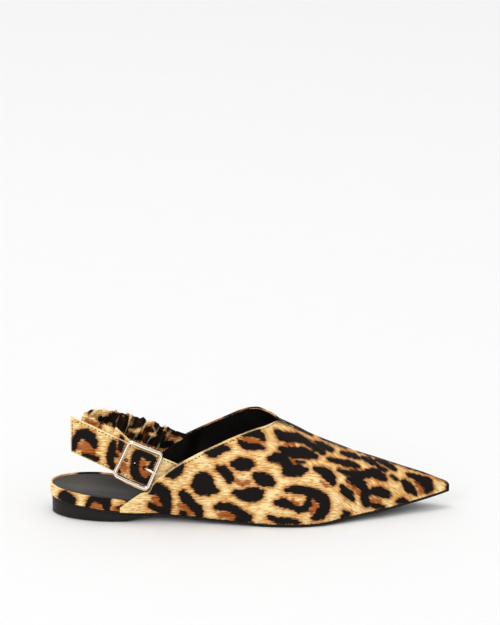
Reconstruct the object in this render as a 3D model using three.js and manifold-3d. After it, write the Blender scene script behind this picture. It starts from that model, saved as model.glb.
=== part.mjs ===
// A pointed slingback flat for the right foot, in millimetres.
// The toe points along +X, the inner side of the foot is +Y and +Z is up.
// The origin is on the floor, under the middle of the shoe's outline.
import * as THREE from "three";
import { mergeVertices } from "three/addons/utils/BufferGeometryUtils.js";
import Module from "manifold-3d";

const wasm = await Module();
wasm.setup();

// Shoe
const LENGTH = 265; // heel seat to toe tip
const BALL_WIDTH = 78;
const HEEL_WIDTH = 56;
const INSTEP_RISE = 60; // throat corner above the edge of the sole
const TOE_SPRING = 11; // underside of the tip above the floor
const TOE_SWING = 4.5; // tip towards the inner side
const HEEL_HEIGHT = 9.8; // underside of the seat at the back
const SOLE_THICKNESS = 1.6;
const WALL = 1.6; // cloth, stiffener and lining together
const GAP = 0.3; // between pieces that are glued or stitched on the real shoe
const SOLE_EDGE = 0.2; // sole inside the line of the upper

// Heel seat
const BAND_HEIGHT = 8.4;
const BAND_THICKNESS = 2.9;
const BAND_BULGE = 0.5;
const BAND_END_THICKNESS = 1.2;
const PAD_BELOW_BAND = 1.1; // rim of the padded insole under the top of the band
const PAD_DISH = 2.2; // hollow of the padded insole
const PAD_THIN = 3.4; // insole under the ball
const PAD_TOE_GAP = 0.25; // more room round the insole in the toe
const HEEL_TIP_THICKNESS = 0.5;
const HEEL_BEVEL = 1.2;

// Sling
const SLING_RISE = 57.8; // middle of the sling at the back, above the floor
const STRAP_WIDTH = 21.8;
const STRAP_THICKNESS = 1.8;
const SLING_LEAN = 0.1; // inward per unit of height
const ELASTIC_WIDTH = 19;
const ELASTIC_THICKNESS = 4.4;
const ELASTIC_FLAT = 2; // thickness where it is stitched flat
const RUCHE_PITCH = 5;
const RUCHE_DEPTH = 0.75;
const TAB_LAYER = 1.2;
const TAB_LENGTH = 24;
const TAB_FOLD = 3.5; // from the loop back to where the layers meet
const TAB_WIDEN = 1.7; // half-width gained behind the bar
const TAB_RISE = 4; // middle of the tab's rear end above the strap's middle
const ELASTIC_RISE = 5.8; // the same for the elastic that it holds
const HOLE_DIAMETER = 2.2;
const HOLE_PITCH = 6.5;

// Buckle
const BUCKLE_LENGTH = 26;
const BAR_WIDTH = 2.7;
const BAR_DEPTH = 2;
const STRAP_PLAY = 0.35; // strap to frame, each side
const CORNER_RADIUS = 4;
const PIN_DIAMETER = 1.8;
const PRONG_DIAMETER = 1.6;
const PRONG_EYE = 3; // width of the loop on the bar
const BUCKLE_AT = 0.222; // share of the length

// Half-widths of the sole edge, as shares of the half-width between heel and ball
const HEEL_MIDDLE = 0.166;
const BALL_MIDDLE = 0.592;
const OUTLINE = [
  { at: 0.166, lateral: 1, medial: 0.985 },
  { at: 0.211, lateral: 0.972, medial: 0.926 },
  { at: 0.253, lateral: 0.925, medial: 0.839 },
  { at: 0.309, lateral: 0.906, medial: 0.729 },
  { at: 0.377, lateral: 0.928, medial: 0.661 },
  { at: 0.43, lateral: 0.94, medial: 0.678 },
  { at: 0.487, lateral: 0.964, medial: 0.763 },
  { at: 0.547, lateral: 0.992, medial: 0.867 },
  { at: 0.592, lateral: 1.005, medial: 0.94 },
  { at: 0.623, lateral: 1, medial: 0.974 },
  { at: 0.672, lateral: 0.949, medial: 0.987 },
  { at: 0.7245, lateral: 0.815, medial: 0.903 },
  { at: 0.777, lateral: 0.659, medial: 0.769 },
  { at: 0.838, lateral: 0.503, medial: 0.582 },
  { at: 0.887, lateral: 0.349, medial: 0.4 },
  { at: 0.936, lateral: 0.221, medial: 0.231 },
  { at: 0.974, lateral: 0.113, medial: 0.115 },
  { at: 1, lateral: 0.03, medial: 0.03 },
];

// Underside of the sole: a share of the heel height plus a share of the toe spring
const UNDERSIDE = [
  { at: 0, heel: 1, toe: 0 },
  { at: 0.109, heel: 0.735, toe: 0 },
  { at: 0.151, heel: 0.612, toe: 0 },
  { at: 0.181, heel: 0.52, toe: 0 },
  { at: 0.249, heel: 0.43, toe: 0 },
  { at: 0.309, heel: 0.34, toe: 0 },
  { at: 0.377, heel: 0.24, toe: 0 },
  { at: 0.43, heel: 0.163, toe: 0 },
  { at: 0.487, heel: 0.085, toe: 0 },
  { at: 0.543, heel: 0, toe: 0 },
  { at: 0.642, heel: 0, toe: 0 },
  { at: 0.68, heel: 0, toe: 0.045 },
  { at: 0.7245, heel: 0, toe: 0.145 },
  { at: 0.777, heel: 0, toe: 0.26 },
  { at: 0.838, heel: 0, toe: 0.4 },
  { at: 0.887, heel: 0, toe: 0.54 },
  { at: 0.936, heel: 0, toe: 0.72 },
  { at: 0.974, heel: 0, toe: 0.88 },
  { at: 1, heel: 0, toe: 1 },
];

// Topline of each quarter, then the ridge of the vamp, where both half-widths are nought.
// Half-widths are shares of the local half-width, rises are shares of the instep rise.
const TOPLINE = [
  { at: 0.176, lateral: 1.056, medial: 1.04, lateralRise: 0.045, medialRise: 0.045 },
  { at: 0.204, lateral: 1.04, medial: 1.012, lateralRise: 0.146, medialRise: 0.146 },
  { at: 0.23, lateral: 1.05, medial: 1.024, lateralRise: 0.23, medialRise: 0.23 },
  { at: 0.2485, lateral: 1.045, medial: 1.016, lateralRise: 0.262, medialRise: 0.31 },
  { at: 0.26, lateral: 1.039, medial: 1.009, lateralRise: 0.358, medialRise: 0.365 },
  { at: 0.287, lateral: 1.027, medial: 0.989, lateralRise: 0.47, medialRise: 0.47 },
  { at: 0.317, lateral: 1.007, medial: 0.962, lateralRise: 0.58, medialRise: 0.58 },
  { at: 0.34, lateral: 0.981, medial: 0.943, lateralRise: 0.646, medialRise: 0.641 },
  { at: 0.385, lateral: 0.908, medial: 0.891, lateralRise: 0.762, medialRise: 0.749 },
  { at: 0.423, lateral: 0.832, medial: 0.827, lateralRise: 0.845, medialRise: 0.84 },
  { at: 0.445, lateral: 0.778, medial: 0.778, lateralRise: 0.893, medialRise: 0.895 },
  { at: 0.474, lateral: 0.705, medial: 0.711, lateralRise: 0.947, medialRise: 0.967 },
  { at: 0.502, lateral: 0.609, medial: 0.596, lateralRise: 0.99, medialRise: 1.027 },
  { at: 0.525, lateral: 0.509, medial: 0.467, lateralRise: 1.012, medialRise: 1.055 },
  { at: 0.547, lateral: 0.323, medial: 0.303, lateralRise: 1.017, medialRise: 1.052 },
  { at: 0.563, lateral: 0.128, medial: 0.128, lateralRise: 1.0135, medialRise: 1.033 },
  { at: 0.572, lateral: 0.054, medial: 0.054, lateralRise: 0.9995, medialRise: 1.0065 },
  { at: 0.588, lateral: 0.025, medial: 0.025, lateralRise: 0.966, medialRise: 0.969 },
  { at: 0.608, lateral: 0, medial: 0, lateralRise: 0.923, medialRise: 0.923 },
  { at: 0.624, lateral: 0, medial: 0, lateralRise: 0.885, medialRise: 0.885 },
  { at: 0.653, lateral: 0, medial: 0, lateralRise: 0.815, medialRise: 0.815 },
  { at: 0.69, lateral: 0, medial: 0, lateralRise: 0.735, medialRise: 0.735 },
  { at: 0.732, lateral: 0, medial: 0, lateralRise: 0.645, medialRise: 0.645 },
  { at: 0.77, lateral: 0, medial: 0, lateralRise: 0.568, medialRise: 0.568 },
  { at: 0.824, lateral: 0, medial: 0, lateralRise: 0.472, medialRise: 0.472 },
  { at: 0.872, lateral: 0, medial: 0, lateralRise: 0.378, medialRise: 0.378 },
  { at: 0.936, lateral: 0, medial: 0, lateralRise: 0.245, medialRise: 0.245 },
  { at: 0.974, lateral: 0, medial: 0, lateralRise: 0.145, medialRise: 0.145 },
  { at: 0.992, lateral: 0, medial: 0, lateralRise: 0.097, medialRise: 0.097 },
  { at: 1, lateral: 0, medial: 0, lateralRise: 0.055, medialRise: 0.055 },
];
const THROAT = 0.545; // where the quarters turn in
const NOTCH_END = 0.608; // where the throat's slit closes
const THROAT_FULLNESS = 2.2; // roof gained per share of the length behind it

// How full each section is. side and roof are the reach of the curve up from the sole edge
// and out from the top, drop is its fall below the top, tilt the ridge's climb towards the
// inner side, and the flares are how far the walls lean out as they rise.
const FULLNESS = [
  { at: 0.176, side: 0.35, roof: 0, drop: 0.3, tilt: 0, lateralFlare: 0.1, medialFlare: 0.1 },
  { at: 0.317, side: 0.36, roof: 0.03, drop: 0.34, tilt: 0, lateralFlare: 0.16, medialFlare: 0.42 },
  { at: 0.377, side: 0.36, roof: 0.08, drop: 0.33, tilt: 0, lateralFlare: 0.15, medialFlare: 0.46 },
  { at: 0.445, side: 0.38, roof: 0.17, drop: 0.25, tilt: 0, lateralFlare: 0.12, medialFlare: 0.38 },
  { at: 0.502, side: 0.41, roof: 0.28, drop: 0.13, tilt: 0, lateralFlare: 0.09, medialFlare: 0.26 },
  { at: 0.547, side: 0.44, roof: 0.4, drop: 0.04, tilt: 0.08, lateralFlare: 0.06, medialFlare: 0.16 },
  { at: 0.608, side: 0.47, roof: 0.5, drop: 0, tilt: 0.18, lateralFlare: 0.04, medialFlare: 0.08 },
  { at: 0.69, side: 0.48, roof: 0.51, drop: 0, tilt: 0.1, lateralFlare: 0.03, medialFlare: 0.04 },
  { at: 0.838, side: 0.5, roof: 0.54, drop: 0, tilt: 0.04, lateralFlare: 0.02, medialFlare: 0.02 },
  { at: 1, side: 0.52, roof: 0.58, drop: 0, tilt: 0, lateralFlare: 0, medialFlare: 0 },
];

// Middle line of the flat strap: half-width as a share of the heel's, and climb from its
// stitching in the outer quarter to the back of the sling. It runs from the free end forward.
const STRAP_LINE = [
  { at: 0.055, out: 0.773, climb: 1.039 },
  { at: 0.113, out: 0.835, climb: 0.845 },
  { at: 0.17, out: 0.905, climb: 0.648 },
  { at: 0.217, out: 0.962, climb: 0.485 },
];
const STRAP_ROOT = [
  { at: 0.27, climb: 0.305 },
  { at: 0.317, climb: 0.14 },
  { at: 0.355, climb: 0 },
];
const STRAP_ROOT_RISE = 0.305; // of the instep rise, above the sole edge

// Middle line of the elastic from the tab, round the heel, to the inner quarter.
// out is towards the inner side, as a share of half the heel's width.
const ELASTIC_LINE = [
  { at: 0.109, out: -0.5, climb: 0.965 },
  { at: 0.0915, out: -0.27, climb: 0.96 },
  { at: 0.085, out: 0.02, climb: 0.92 },
  { at: 0.0925, out: 0.31, climb: 0.905 },
  { at: 0.1135, out: 0.56, climb: 0.865 },
  { at: 0.15, out: 0.77, climb: 0.75 },
  { at: 0.196, out: 0.9, climb: 0.57 },
  { at: 0.249, out: 0.945, climb: 0.345 },
];
const ELASTIC_ROOT = [
  { at: 0.309, climb: 0.085 },
  { at: 0.333, climb: 0 },
];
const ELASTIC_ROOT_RISE = 0.508;
const GATHER_STARTS = [0.02, 0.08]; // shares of the elastic's own length
const GATHER_ENDS = [0.8, 0.93];

// Places and stretches along the shoe, as shares of its length
const LAP_ENDS = [0.215, 0.265];
const BAND_TUCKS_IN = [0.126, 0.152];
const BAND_THINS = [0.172, 0.232];
const QUARTER_TO_VAMP = [0.455, 0.53];
const SEAT_TO_FOREPART = [0.15, 0.5];
const TOE_CLEARS = [0.6, 0.7];
const HOLLOW_END = 0.962; // solid toe past this
const TIP_STATIONS = [0.974, 0.985, 0.994, 1];
const PAD_END = 0.93;
const HEEL_FLAT_END = 0.187;
const HEEL_TIP = 0.243;
const BAND_END = 0.232;
const WING_START = 0.176;
const BACK = 0.004; // where the round of the heel starts

const { clamp, lerp: mix, smoothstep } = THREE.MathUtils;

// A column of a table at a share of the length, on a smooth line that never overshoots
function read(rows, column, share) {
  const last = rows.length - 1;
  if (share <= rows[0].at) return rows[0][column];
  if (share >= rows[last].at) return rows[last][column];
  let i = 0;
  while (rows[i + 1].at < share) i += 1;
  const slope = (k) => (rows[k + 1][column] - rows[k][column]) / (rows[k + 1].at - rows[k].at);
  const tangent = (k) => {
    if (k === 0) return slope(0);
    if (k === last) return slope(last - 1);
    const before = slope(k - 1);
    const after = slope(k);
    return before * after <= 0 ? 0 : (2 * before * after) / (before + after);
  };
  const span = rows[i + 1].at - rows[i].at;
  const t = (share - rows[i].at) / span;
  const a = rows[i][column];
  const b = rows[i + 1][column];
  const s = t * t * (3 - 2 * t);
  return mix(a, b, s) + span * t * (1 - t) * ((1 - t) * tangent(i) - t * tangent(i + 1));
}

// The last: plan outline, underside and middle line
const outwardOf = { lateral: -1, medial: 1 };

function localHalfWidth(x) {
  const heelX = HEEL_MIDDLE * LENGTH;
  const ballX = BALL_MIDDLE * LENGTH;
  return mix(HEEL_WIDTH, BALL_WIDTH, smoothstep(x, heelX, ballX)) / 2;
}

function halfWidth(side, x) {
  const heelX = HEEL_MIDDLE * LENGTH;
  const share = read(OUTLINE, side, x / LENGTH);
  if (x >= heelX) return localHalfWidth(x) * share;
  const back = clamp((heelX - x) / heelX, 0, 1);
  return (HEEL_WIDTH / 2) * share * Math.sqrt(1 - back * back);
}

// The half-width of a line that runs inside the sole edge all round the heel
function insetHalfWidth(side, x, inset) {
  const heelX = HEEL_MIDDLE * LENGTH;
  if (x >= heelX) return halfWidth(side, x) - inset;
  const share = read(OUTLINE, side, x / LENGTH);
  const back = clamp((heelX - x) / (heelX - inset), 0, 1);
  return ((HEEL_WIDTH / 2) * share - inset) * Math.sqrt(1 - back * back);
}

function swing(x) {
  const t = clamp((x / LENGTH - BALL_MIDDLE) / (1 - BALL_MIDDLE), 0, 1);
  return TOE_SWING * t * t;
}

function underside(x) {
  const share = x / LENGTH;
  return HEEL_HEIGHT * read(UNDERSIDE, "heel", share) + TOE_SPRING * read(UNDERSIDE, "toe", share);
}

const soleTop = (x) => underside(x) + SOLE_THICKNESS;
const shareAlong = ([from, to], x) => smoothstep(x / LENGTH, from, to);

// The wings lap outside the heel band by one wall, and run flush with the sole further on
const lap = (x) => WALL * (1 - shareAlong(LAP_ENDS, x));

// Outer face of the heel band, outside the sole edge at the back and inside the wings ahead
const bandFace = (x) => mix(BAND_BULGE, lap(x) - WALL - 1.3 * GAP, shareAlong(BAND_TUCKS_IN, x));
const bandThickness = (x) => mix(BAND_THICKNESS, BAND_END_THICKNESS, shareAlong(BAND_THINS, x));

// One side of the upper across the shoe, as a curve from the sole edge to its top edge,
// in (outward, up) with outward counted from the middle line. Near the throat its points
// crowd towards the topline.
function ribCurve(side, x) {
  const share = x / LENGTH;
  const foot = halfWidth(side, x) + lap(x);
  const floor = soleTop(x) + GAP;
  const top = localHalfWidth(x) * read(TOPLINE, side, share);
  const rise = INSTEP_RISE * read(TOPLINE, side + "Rise", share);
  const roof = foot * read(FULLNESS, "roof", share);
  const up = rise * read(FULLNESS, "side", share);
  const flare = up * read(FULLNESS, side + "Flare", share);
  const climb = -outwardOf[side] * roof * read(FULLNESS, "tilt", share);
  const drop = rise * read(FULLNESS, "drop", share);
  const quarter = [
    new THREE.Vector2(foot, floor),
    new THREE.Vector2(foot + flare, floor + up),
    new THREE.Vector2(top + roof, soleTop(x) + rise - drop - climb),
    new THREE.Vector2(top, soleTop(x) + rise),
  ];
  const near = shareAlong(QUARTER_TO_VAMP, x);
  let crowd = (t) => t;
  if (near > 0 && share < NOTCH_END) {
    const { points, cut } = vampPart(side, x, foot, floor, top, rise);
    quarter.forEach((p, i) => p.lerp(points[i], near));
    const power = Math.min(3, 1 / cut);
    crowd = (t) => mix(t, (t - cut * t ** power) / (1 - cut), near);
  }
  return { curve: new THREE.CubicBezierCurve(...quarter), crowd };
}

// Round the throat the section is the lower part of one that would run up to a ridge,
// so the vamp keeps its shape where the topline crosses it
function vampPart(side, x, foot, floor, top, rise) {
  const share = x / LENGTH;
  const base = soleTop(x);
  let ridge = rise;
  let points = [];
  let cut = 0;
  for (let round = 0; round < 8; round += 1) {
    const up = ridge * read(FULLNESS, "side", NOTCH_END);
    const flare = up * read(FULLNESS, side + "Flare", share);
    const fuller = THROAT_FULLNESS * (NOTCH_END - share);
    const roof = foot * (read(FULLNESS, "roof", NOTCH_END) + fuller);
    const climb = -outwardOf[side] * roof * read(FULLNESS, "tilt", share);
    const whole = [
      new THREE.Vector2(foot, floor),
      new THREE.Vector2(foot + flare, floor + up),
      new THREE.Vector2(roof, base + ridge - climb),
      new THREE.Vector2(0, base + ridge),
    ];
    const curve = new THREE.CubicBezierCurve(...whole);
    let low = 0.2;
    let high = 1;
    for (let i = 0; i < 30; i += 1) {
      const t = (low + high) / 2;
      if (curve.getPoint(t).x > top) low = t;
      else high = t;
    }
    const between = (a, b) => a.clone().lerp(b, low);
    const first = [0, 1, 2].map((i) => between(whole[i], whole[i + 1]));
    const second = [0, 1].map((i) => between(first[i], first[i + 1]));
    points = [whole[0], first[0], second[0], between(second[0], second[1])];
    ridge *= rise / (points[3].y - base);
    cut = 1 - low;
  }
  return { points, cut };
}

// A rib's points, moved inwards by inset and counted from the sole edge up
function rib(side, x, steps, inset) {
  const { curve, crowd } = ribCurve(side, x);
  const points = [];
  for (let i = 0; i <= steps; i += 1) {
    const t = crowd(i / steps);
    const p = curve.getPoint(t);
    const along = curve.getTangent(t);
    if (i === 0) along.set(0, 1);
    if (x >= NOTCH_END * LENGTH && i === steps) along.set(-1, 0);
    const out = p.x - inset * along.y;
    const up = p.y + inset * along.x;
    points.push(new THREE.Vector3(x, swing(x) + outwardOf[side] * out, up));
  }
  return points;
}

// The inner face of a quarter at a height, as a half-width from the shoe's middle line
function innerFace(side, x, height) {
  const points = rib(side, x, 24, WALL);
  for (let i = 1; i < points.length; i += 1) {
    const a = points[i - 1];
    const b = points[i];
    if (b.z >= height) {
      const t = clamp((height - a.z) / (b.z - a.z), 0, 1);
      return outwardOf[side] * mix(a.y, b.y, t);
    }
  }
  return outwardOf[side] * points[points.length - 1].y;
}

// Triangles gathered into one closed mesh, with equal corners shared
class Skin {
  constructor() {
    this.corners = [];
    this.faces = [];
    this.known = new Map();
  }
  corner(v) {
    const key = [v.x, v.y, v.z].map((n) => Math.round(n * 1000)).join(",");
    if (!this.known.has(key)) {
      this.known.set(key, this.corners.length);
      this.corners.push(v.clone());
    }
    return this.known.get(key);
  }
  triangle(a, b, c) {
    const [i, j, k] = [a, b, c].map((v) => this.corner(v));
    if (i !== j && j !== k && k !== i) this.faces.push(i, j, k);
  }
  quad(a, b, c, d) {
    this.triangle(a, b, c);
    this.triangle(a, c, d);
  }
  // A sheet of rows, facing the side from which each row runs to the left of the next
  sheet(rows, flip) {
    for (let i = 1; i < rows.length; i += 1) {
      for (let j = 1; j < rows[i].length; j += 1) {
        const q = [rows[i - 1][j - 1], rows[i][j - 1], rows[i][j], rows[i - 1][j]];
        if (flip) q.reverse();
        this.quad(...q);
      }
    }
  }
  geometry() {
    const flat = this.corners.flatMap((v) => [v.x, v.y, v.z]);
    const made = new THREE.BufferGeometry();
    made.setAttribute("position", new THREE.Float32BufferAttribute(flat, 3));
    made.setIndex(this.faces);
    return outwards(made);
  }
}

// The same geometry with its faces turned out
function outwards(geometry) {
  const p = geometry.getAttribute("position");
  const index = geometry.getIndex().array;
  const v = [new THREE.Vector3(), new THREE.Vector3(), new THREE.Vector3()];
  let volume = 0;
  for (let i = 0; i < index.length; i += 3) {
    v.forEach((corner, k) => corner.fromBufferAttribute(p, index[i + k]));
    volume += v[0].dot(v[1].cross(v[2]));
  }
  if (volume < 0) geometry.setIndex(Array.from(index).reverse());
  return geometry;
}

// A solid through closed sections with equal numbers of points, flat at both ends
function loft(sections) {
  const skin = new Skin();
  const closed = sections.map((s) => [...s, s[0]]);
  skin.sheet(closed, false);
  const cap = (s, flip) => {
    const middle = s.reduce((sum, v) => sum.add(v), new THREE.Vector3()).divideScalar(s.length);
    s.forEach((v, i) => {
      const next = s[(i + 1) % s.length];
      if (flip) skin.triangle(middle, next, v);
      else skin.triangle(middle, v, next);
    });
  };
  cap(sections[0], false);
  cap(sections[sections.length - 1], true);
  return skin.geometry();
}

// Merged copy of a three.js geometry, position only
function welded(geometry) {
  const bare = geometry.clone();
  Object.keys(bare.attributes).forEach((name) => {
    if (name !== "position") bare.deleteAttribute(name);
  });
  const merged = mergeVertices(bare, 1e-4);
  const index = Array.from(merged.getIndex().array);
  const kept = [];
  for (let i = 0; i < index.length; i += 3) {
    const [a, b, c] = index.slice(i, i + 3);
    if (a !== b && b !== c && c !== a) kept.push(a, b, c);
  }
  merged.setIndex(kept);
  return merged;
}

function solidOf(geometry) {
  const merged = welded(geometry);
  return new wasm.Manifold(
    new wasm.Mesh({
      numProp: 3,
      vertProperties: Float32Array.from(merged.getAttribute("position").array),
      triVerts: Uint32Array.from(merged.getIndex().array),
    }),
  );
}

function geometryOf(solid) {
  const mesh = solid.getMesh();
  const made = new THREE.BufferGeometry();
  made.setAttribute("position", new THREE.Float32BufferAttribute(mesh.vertProperties, 3));
  made.setIndex(Array.from(mesh.triVerts));
  return made;
}

// Stations along the shoe, closer together at a round end
function stations(from, to, count, ease) {
  return Array.from({ length: count + 1 }, (_, i) => mix(from, to, ease(i / count)));
}
const even = (t) => t;
const roundStart = (t) => 1 - Math.cos((t * Math.PI) / 2);

// Upper: outer and inner skins joined at the sole edge, the topline and inside the toe
function upperGeometry() {
  const steps = 11;
  const quarters = stations(WING_START * LENGTH, THROAT * LENGTH, 17, even);
  const throat = stations(THROAT * LENGTH, NOTCH_END * LENGTH, 6, even).slice(1);
  const vamp = stations(NOTCH_END * LENGTH, HOLLOW_END * LENGTH, 14, even).slice(1);
  const hollow = [...quarters, ...throat, ...vamp];
  const tip = TIP_STATIONS.map((share) => share * LENGTH);
  const skin = new Skin();
  const outer = {};
  const inner = {};
  ["lateral", "medial"].forEach((side) => {
    outer[side] = [...hollow, ...tip].map((x) => rib(side, x, steps, 0));
    inner[side] = hollow.map((x) => rib(side, x, steps, WALL));
    const flip = side === "medial";
    skin.sheet(outer[side], flip);
    skin.sheet(inner[side], !flip);
    const rim = (a, b) => skin.sheet([a, b], !flip);
    rim(inner[side].map((r) => r[0]), hollow.map((_, i) => outer[side][i][0]));
    const open = hollow.filter((x) => x <= NOTCH_END * LENGTH + 1e-6).length;
    const topOf = (ribs) => ribs.slice(0, open).map((r) => r[steps]);
    rim(topOf(outer[side]), topOf(inner[side]));
    rim(outer[side][0], inner[side][0]);
  });
  const last = hollow.length - 1;
  const arch = (ribs, i) => [...ribs.lateral[i], ...[...ribs.medial[i]].reverse().slice(1)];
  const wall = arch(inner, last);
  const base = wall[0].clone().lerp(wall[wall.length - 1], 0.5);
  for (let i = 1; i < wall.length; i += 1) skin.triangle(base, wall[i - 1], wall[i]);
  const [a, b] = [outer.lateral, outer.medial];
  skin.triangle(a[last + 1][0], a[last][0], inner.lateral[last][0]);
  skin.triangle(a[last + 1][0], inner.lateral[last][0], base);
  skin.triangle(a[last + 1][0], base, b[last + 1][0]);
  skin.triangle(b[last + 1][0], base, inner.medial[last][0]);
  skin.triangle(b[last + 1][0], inner.medial[last][0], b[last][0]);
  for (let i = last + 2; i < a.length; i += 1) {
    skin.quad(a[i][0], a[i - 1][0], b[i - 1][0], b[i][0]);
  }
  const end = arch(outer, a.length - 1);
  for (let i = 2; i < end.length; i += 1) skin.triangle(end[0], end[i], end[i - 1]);
  return skin.geometry();
}

// A slab across the shoe at x: its edge may be bevelled below and its top may be dished
function slabSection(x, inset, bottom, top, bevel, dish) {
  const lateral = swing(x) - insetHalfWidth("lateral", x, inset);
  const medial = swing(x) + insetHalfWidth("medial", x, inset);
  const middle = (lateral + medial) / 2;
  const half = (medial - lateral) / 2;
  const cut = Math.min(bevel, half * 0.4);
  const points = [
    new THREE.Vector3(x, lateral + cut, bottom),
    new THREE.Vector3(x, lateral, bottom + bevel),
  ];
  const across = dish ? 10 : 1;
  for (let i = 0; i <= across; i += 1) {
    const s = (2 * i) / across - 1;
    const hollow = dish ? dish * smoothstep(1 - Math.abs(s), 0.04, 0.75) : 0;
    points.push(new THREE.Vector3(x, middle + half * s, top - hollow));
  }
  points.push(new THREE.Vector3(x, medial, bottom + bevel));
  points.push(new THREE.Vector3(x, medial - cut, bottom));
  return points;
}

function outsoleGeometry() {
  const round = stations(BACK * LENGTH, HEEL_MIDDLE * LENGTH, 9, roundStart);
  const rest = stations(HEEL_MIDDLE * LENGTH, LENGTH, 30, even).slice(1);
  const bevel = SOLE_THICKNESS * 0.3;
  return loft(
    [...round, ...rest].map((x) => slabSection(x, SOLE_EDGE, underside(x), soleTop(x), bevel, 0)),
  );
}

function heelGeometry() {
  const round = stations(BACK * LENGTH, HEEL_MIDDLE * LENGTH, 9, roundStart);
  const rest = stations(HEEL_MIDDLE * LENGTH, HEEL_TIP * LENGTH, 9, even).slice(1);
  const tipHeight = underside(HEEL_TIP * LENGTH) - GAP - HEEL_TIP_THICKNESS;
  return loft(
    [...round, ...rest].map((x) => {
      const t = clamp((x / LENGTH - HEEL_FLAT_END) / (HEEL_TIP - HEEL_FLAT_END), 0, 1);
      const bottom = tipHeight * mix(t, smoothstep(t, 0, 1), 0.5);
      const top = underside(x) - GAP;
      const bevel = Math.min(HEEL_BEVEL, (top - bottom) * 0.4);
      return slabSection(x, SOLE_EDGE, bottom, top, bevel, 0);
    }),
  );
}

// Heel band: follows the edge of the seat from wing to wing, rolled over at its top
function bandGeometry() {
  const reach = BAND_END * LENGTH;
  const half = stations(0, reach, 18, roundStart);
  const line = [
    ...half.slice(1).reverse().map((x) => ({ side: "lateral", x })),
    ...half.map((x) => ({ side: "medial", x })),
  ];
  const edge = line.map(({ side, x }) => {
    const y = outwardOf[side] * halfWidth(side, x);
    return new THREE.Vector3(x, y, 0);
  });
  return loft(
    line.map(({ x }, i) => {
      const before = edge[Math.max(i - 1, 0)];
      const after = edge[Math.min(i + 1, edge.length - 1)];
      const out = after.clone().sub(before).normalize();
      out.set(-out.y, out.x, 0);
      const face = bandFace(x);
      const thickness = bandThickness(x);
      const thin = shareAlong(BAND_THINS, x);
      const low = soleTop(x) + GAP;
      const high = low + mix(BAND_HEIGHT, BAND_HEIGHT * 0.55, thin);
      const profile = [
        [-0.35, 0],
        [0, 0.12],
        [0, 0.62],
        [-0.16, 0.86],
        [-0.45, 1],
        [-0.8, 0.95],
        [-1, 0.72],
        [-1, 0],
      ];
      return profile.map(([across, up]) =>
        edge[i]
          .clone()
          .addScaledVector(out, face + thickness * across)
          .setZ(mix(low, high, up)),
      );
    }),
  );
}

// Insole: fills the seat inside the band, then the hollow of the upper
function insoleGeometry() {
  const start = BAND_THICKNESS - BAND_BULGE + 2.5 * GAP;
  const edgeOf = (x) => {
    const behind = x <= BAND_END * LENGTH + 2 ? bandThickness(x) - bandFace(x) : 0;
    return Math.max(behind, WALL - lap(x)) + 1.5 * GAP;
  };
  const round = stations(start, HEEL_MIDDLE * LENGTH, 10, roundStart);
  const rest = stations(HEEL_MIDDLE * LENGTH, PAD_END * LENGTH, 22, even).slice(1);
  const padTop = BAND_HEIGHT - PAD_BELOW_BAND;
  return loft(
    [...round, ...rest].map((x, i) => {
      const seat = 1 - shareAlong(SEAT_TO_FOREPART, x);
      const bottom = soleTop(x) + GAP;
      const thickness = mix(PAD_THIN, padTop, seat) - GAP;
      const back = Math.min(1, i / 5);
      const dish = PAD_DISH * seat * back + 0.35;
      const inset = edgeOf(x) + PAD_TOE_GAP * shareAlong(TOE_CLEARS, x);
      return slabSection(x, inset, bottom, bottom + thickness, PAD_THIN * 0.2, dish);
    }),
  );
}

// A line in space with a frame that carries flat shapes: along, up the width and outward
class Track {
  constructor(points, lean, turn) {
    this.curve = new THREE.CatmullRomCurve3(points, false, "centripetal");
    this.curve.arcLengthDivisions = 400;
    this.length = this.curve.getLength();
    this.lean = lean;
    this.turn = turn;
    this.zero = 0;
  }
  frame(distance) {
    const t = clamp((distance + this.zero) / this.length, 0, 1);
    const over = distance + this.zero - t * this.length;
    const along = this.curve.getTangentAt(t);
    const point = this.curve.getPointAt(t).addScaledVector(along, over);
    const level = new THREE.Vector3(along.y, -along.x, 0).normalize().multiplyScalar(this.turn);
    const up = new THREE.Vector3(0, 0, 1).addScaledVector(level, -this.lean);
    up.addScaledVector(along, -up.dot(along)).normalize();
    const out = along.clone().cross(up).multiplyScalar(this.turn);
    return { point, along, up, out };
  }
  place(distance, width, depth) {
    const { point, up, out } = this.frame(distance);
    return point.addScaledVector(up, width).addScaledVector(out, depth);
  }
  // Bends a geometry whose x, y, z are along, up the width and outward
  bend(geometry) {
    const made = welded(geometry);
    const p = made.getAttribute("position");
    for (let i = 0; i < p.count; i += 1) {
      const v = this.place(p.getX(i), p.getY(i), p.getZ(i));
      p.setXYZ(i, v.x, v.y, v.z);
    }
    return outwards(made);
  }
  distanceAt(x) {
    let best = 0;
    for (let i = 0; i <= 400; i += 1) {
      const t = i / 400;
      if (this.curve.getPointAt(t).x <= x) best = t * this.length;
    }
    return best;
  }
}

function rootPoint(side, row, rise, depth) {
  const last = side === "lateral" ? STRAP_ROOT[2] : ELASTIC_ROOT[1];
  const x = row.at * LENGTH;
  const anchor = soleTop(last.at * LENGTH) + rise * INSTEP_RISE;
  const z = mix(anchor, SLING_RISE, row.climb);
  const reach = (side === "lateral" ? STRAP_WIDTH : ELASTIC_WIDTH) / 2;
  const room = [-1, -0.5, 0, 0.5, 1].map(
    (s) => innerFace(side, x, z + s * reach) + s * reach * SLING_LEAN,
  );
  const y = outwardOf[side] * (Math.min(...room) - depth);
  return new THREE.Vector3(x, y, z);
}

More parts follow.
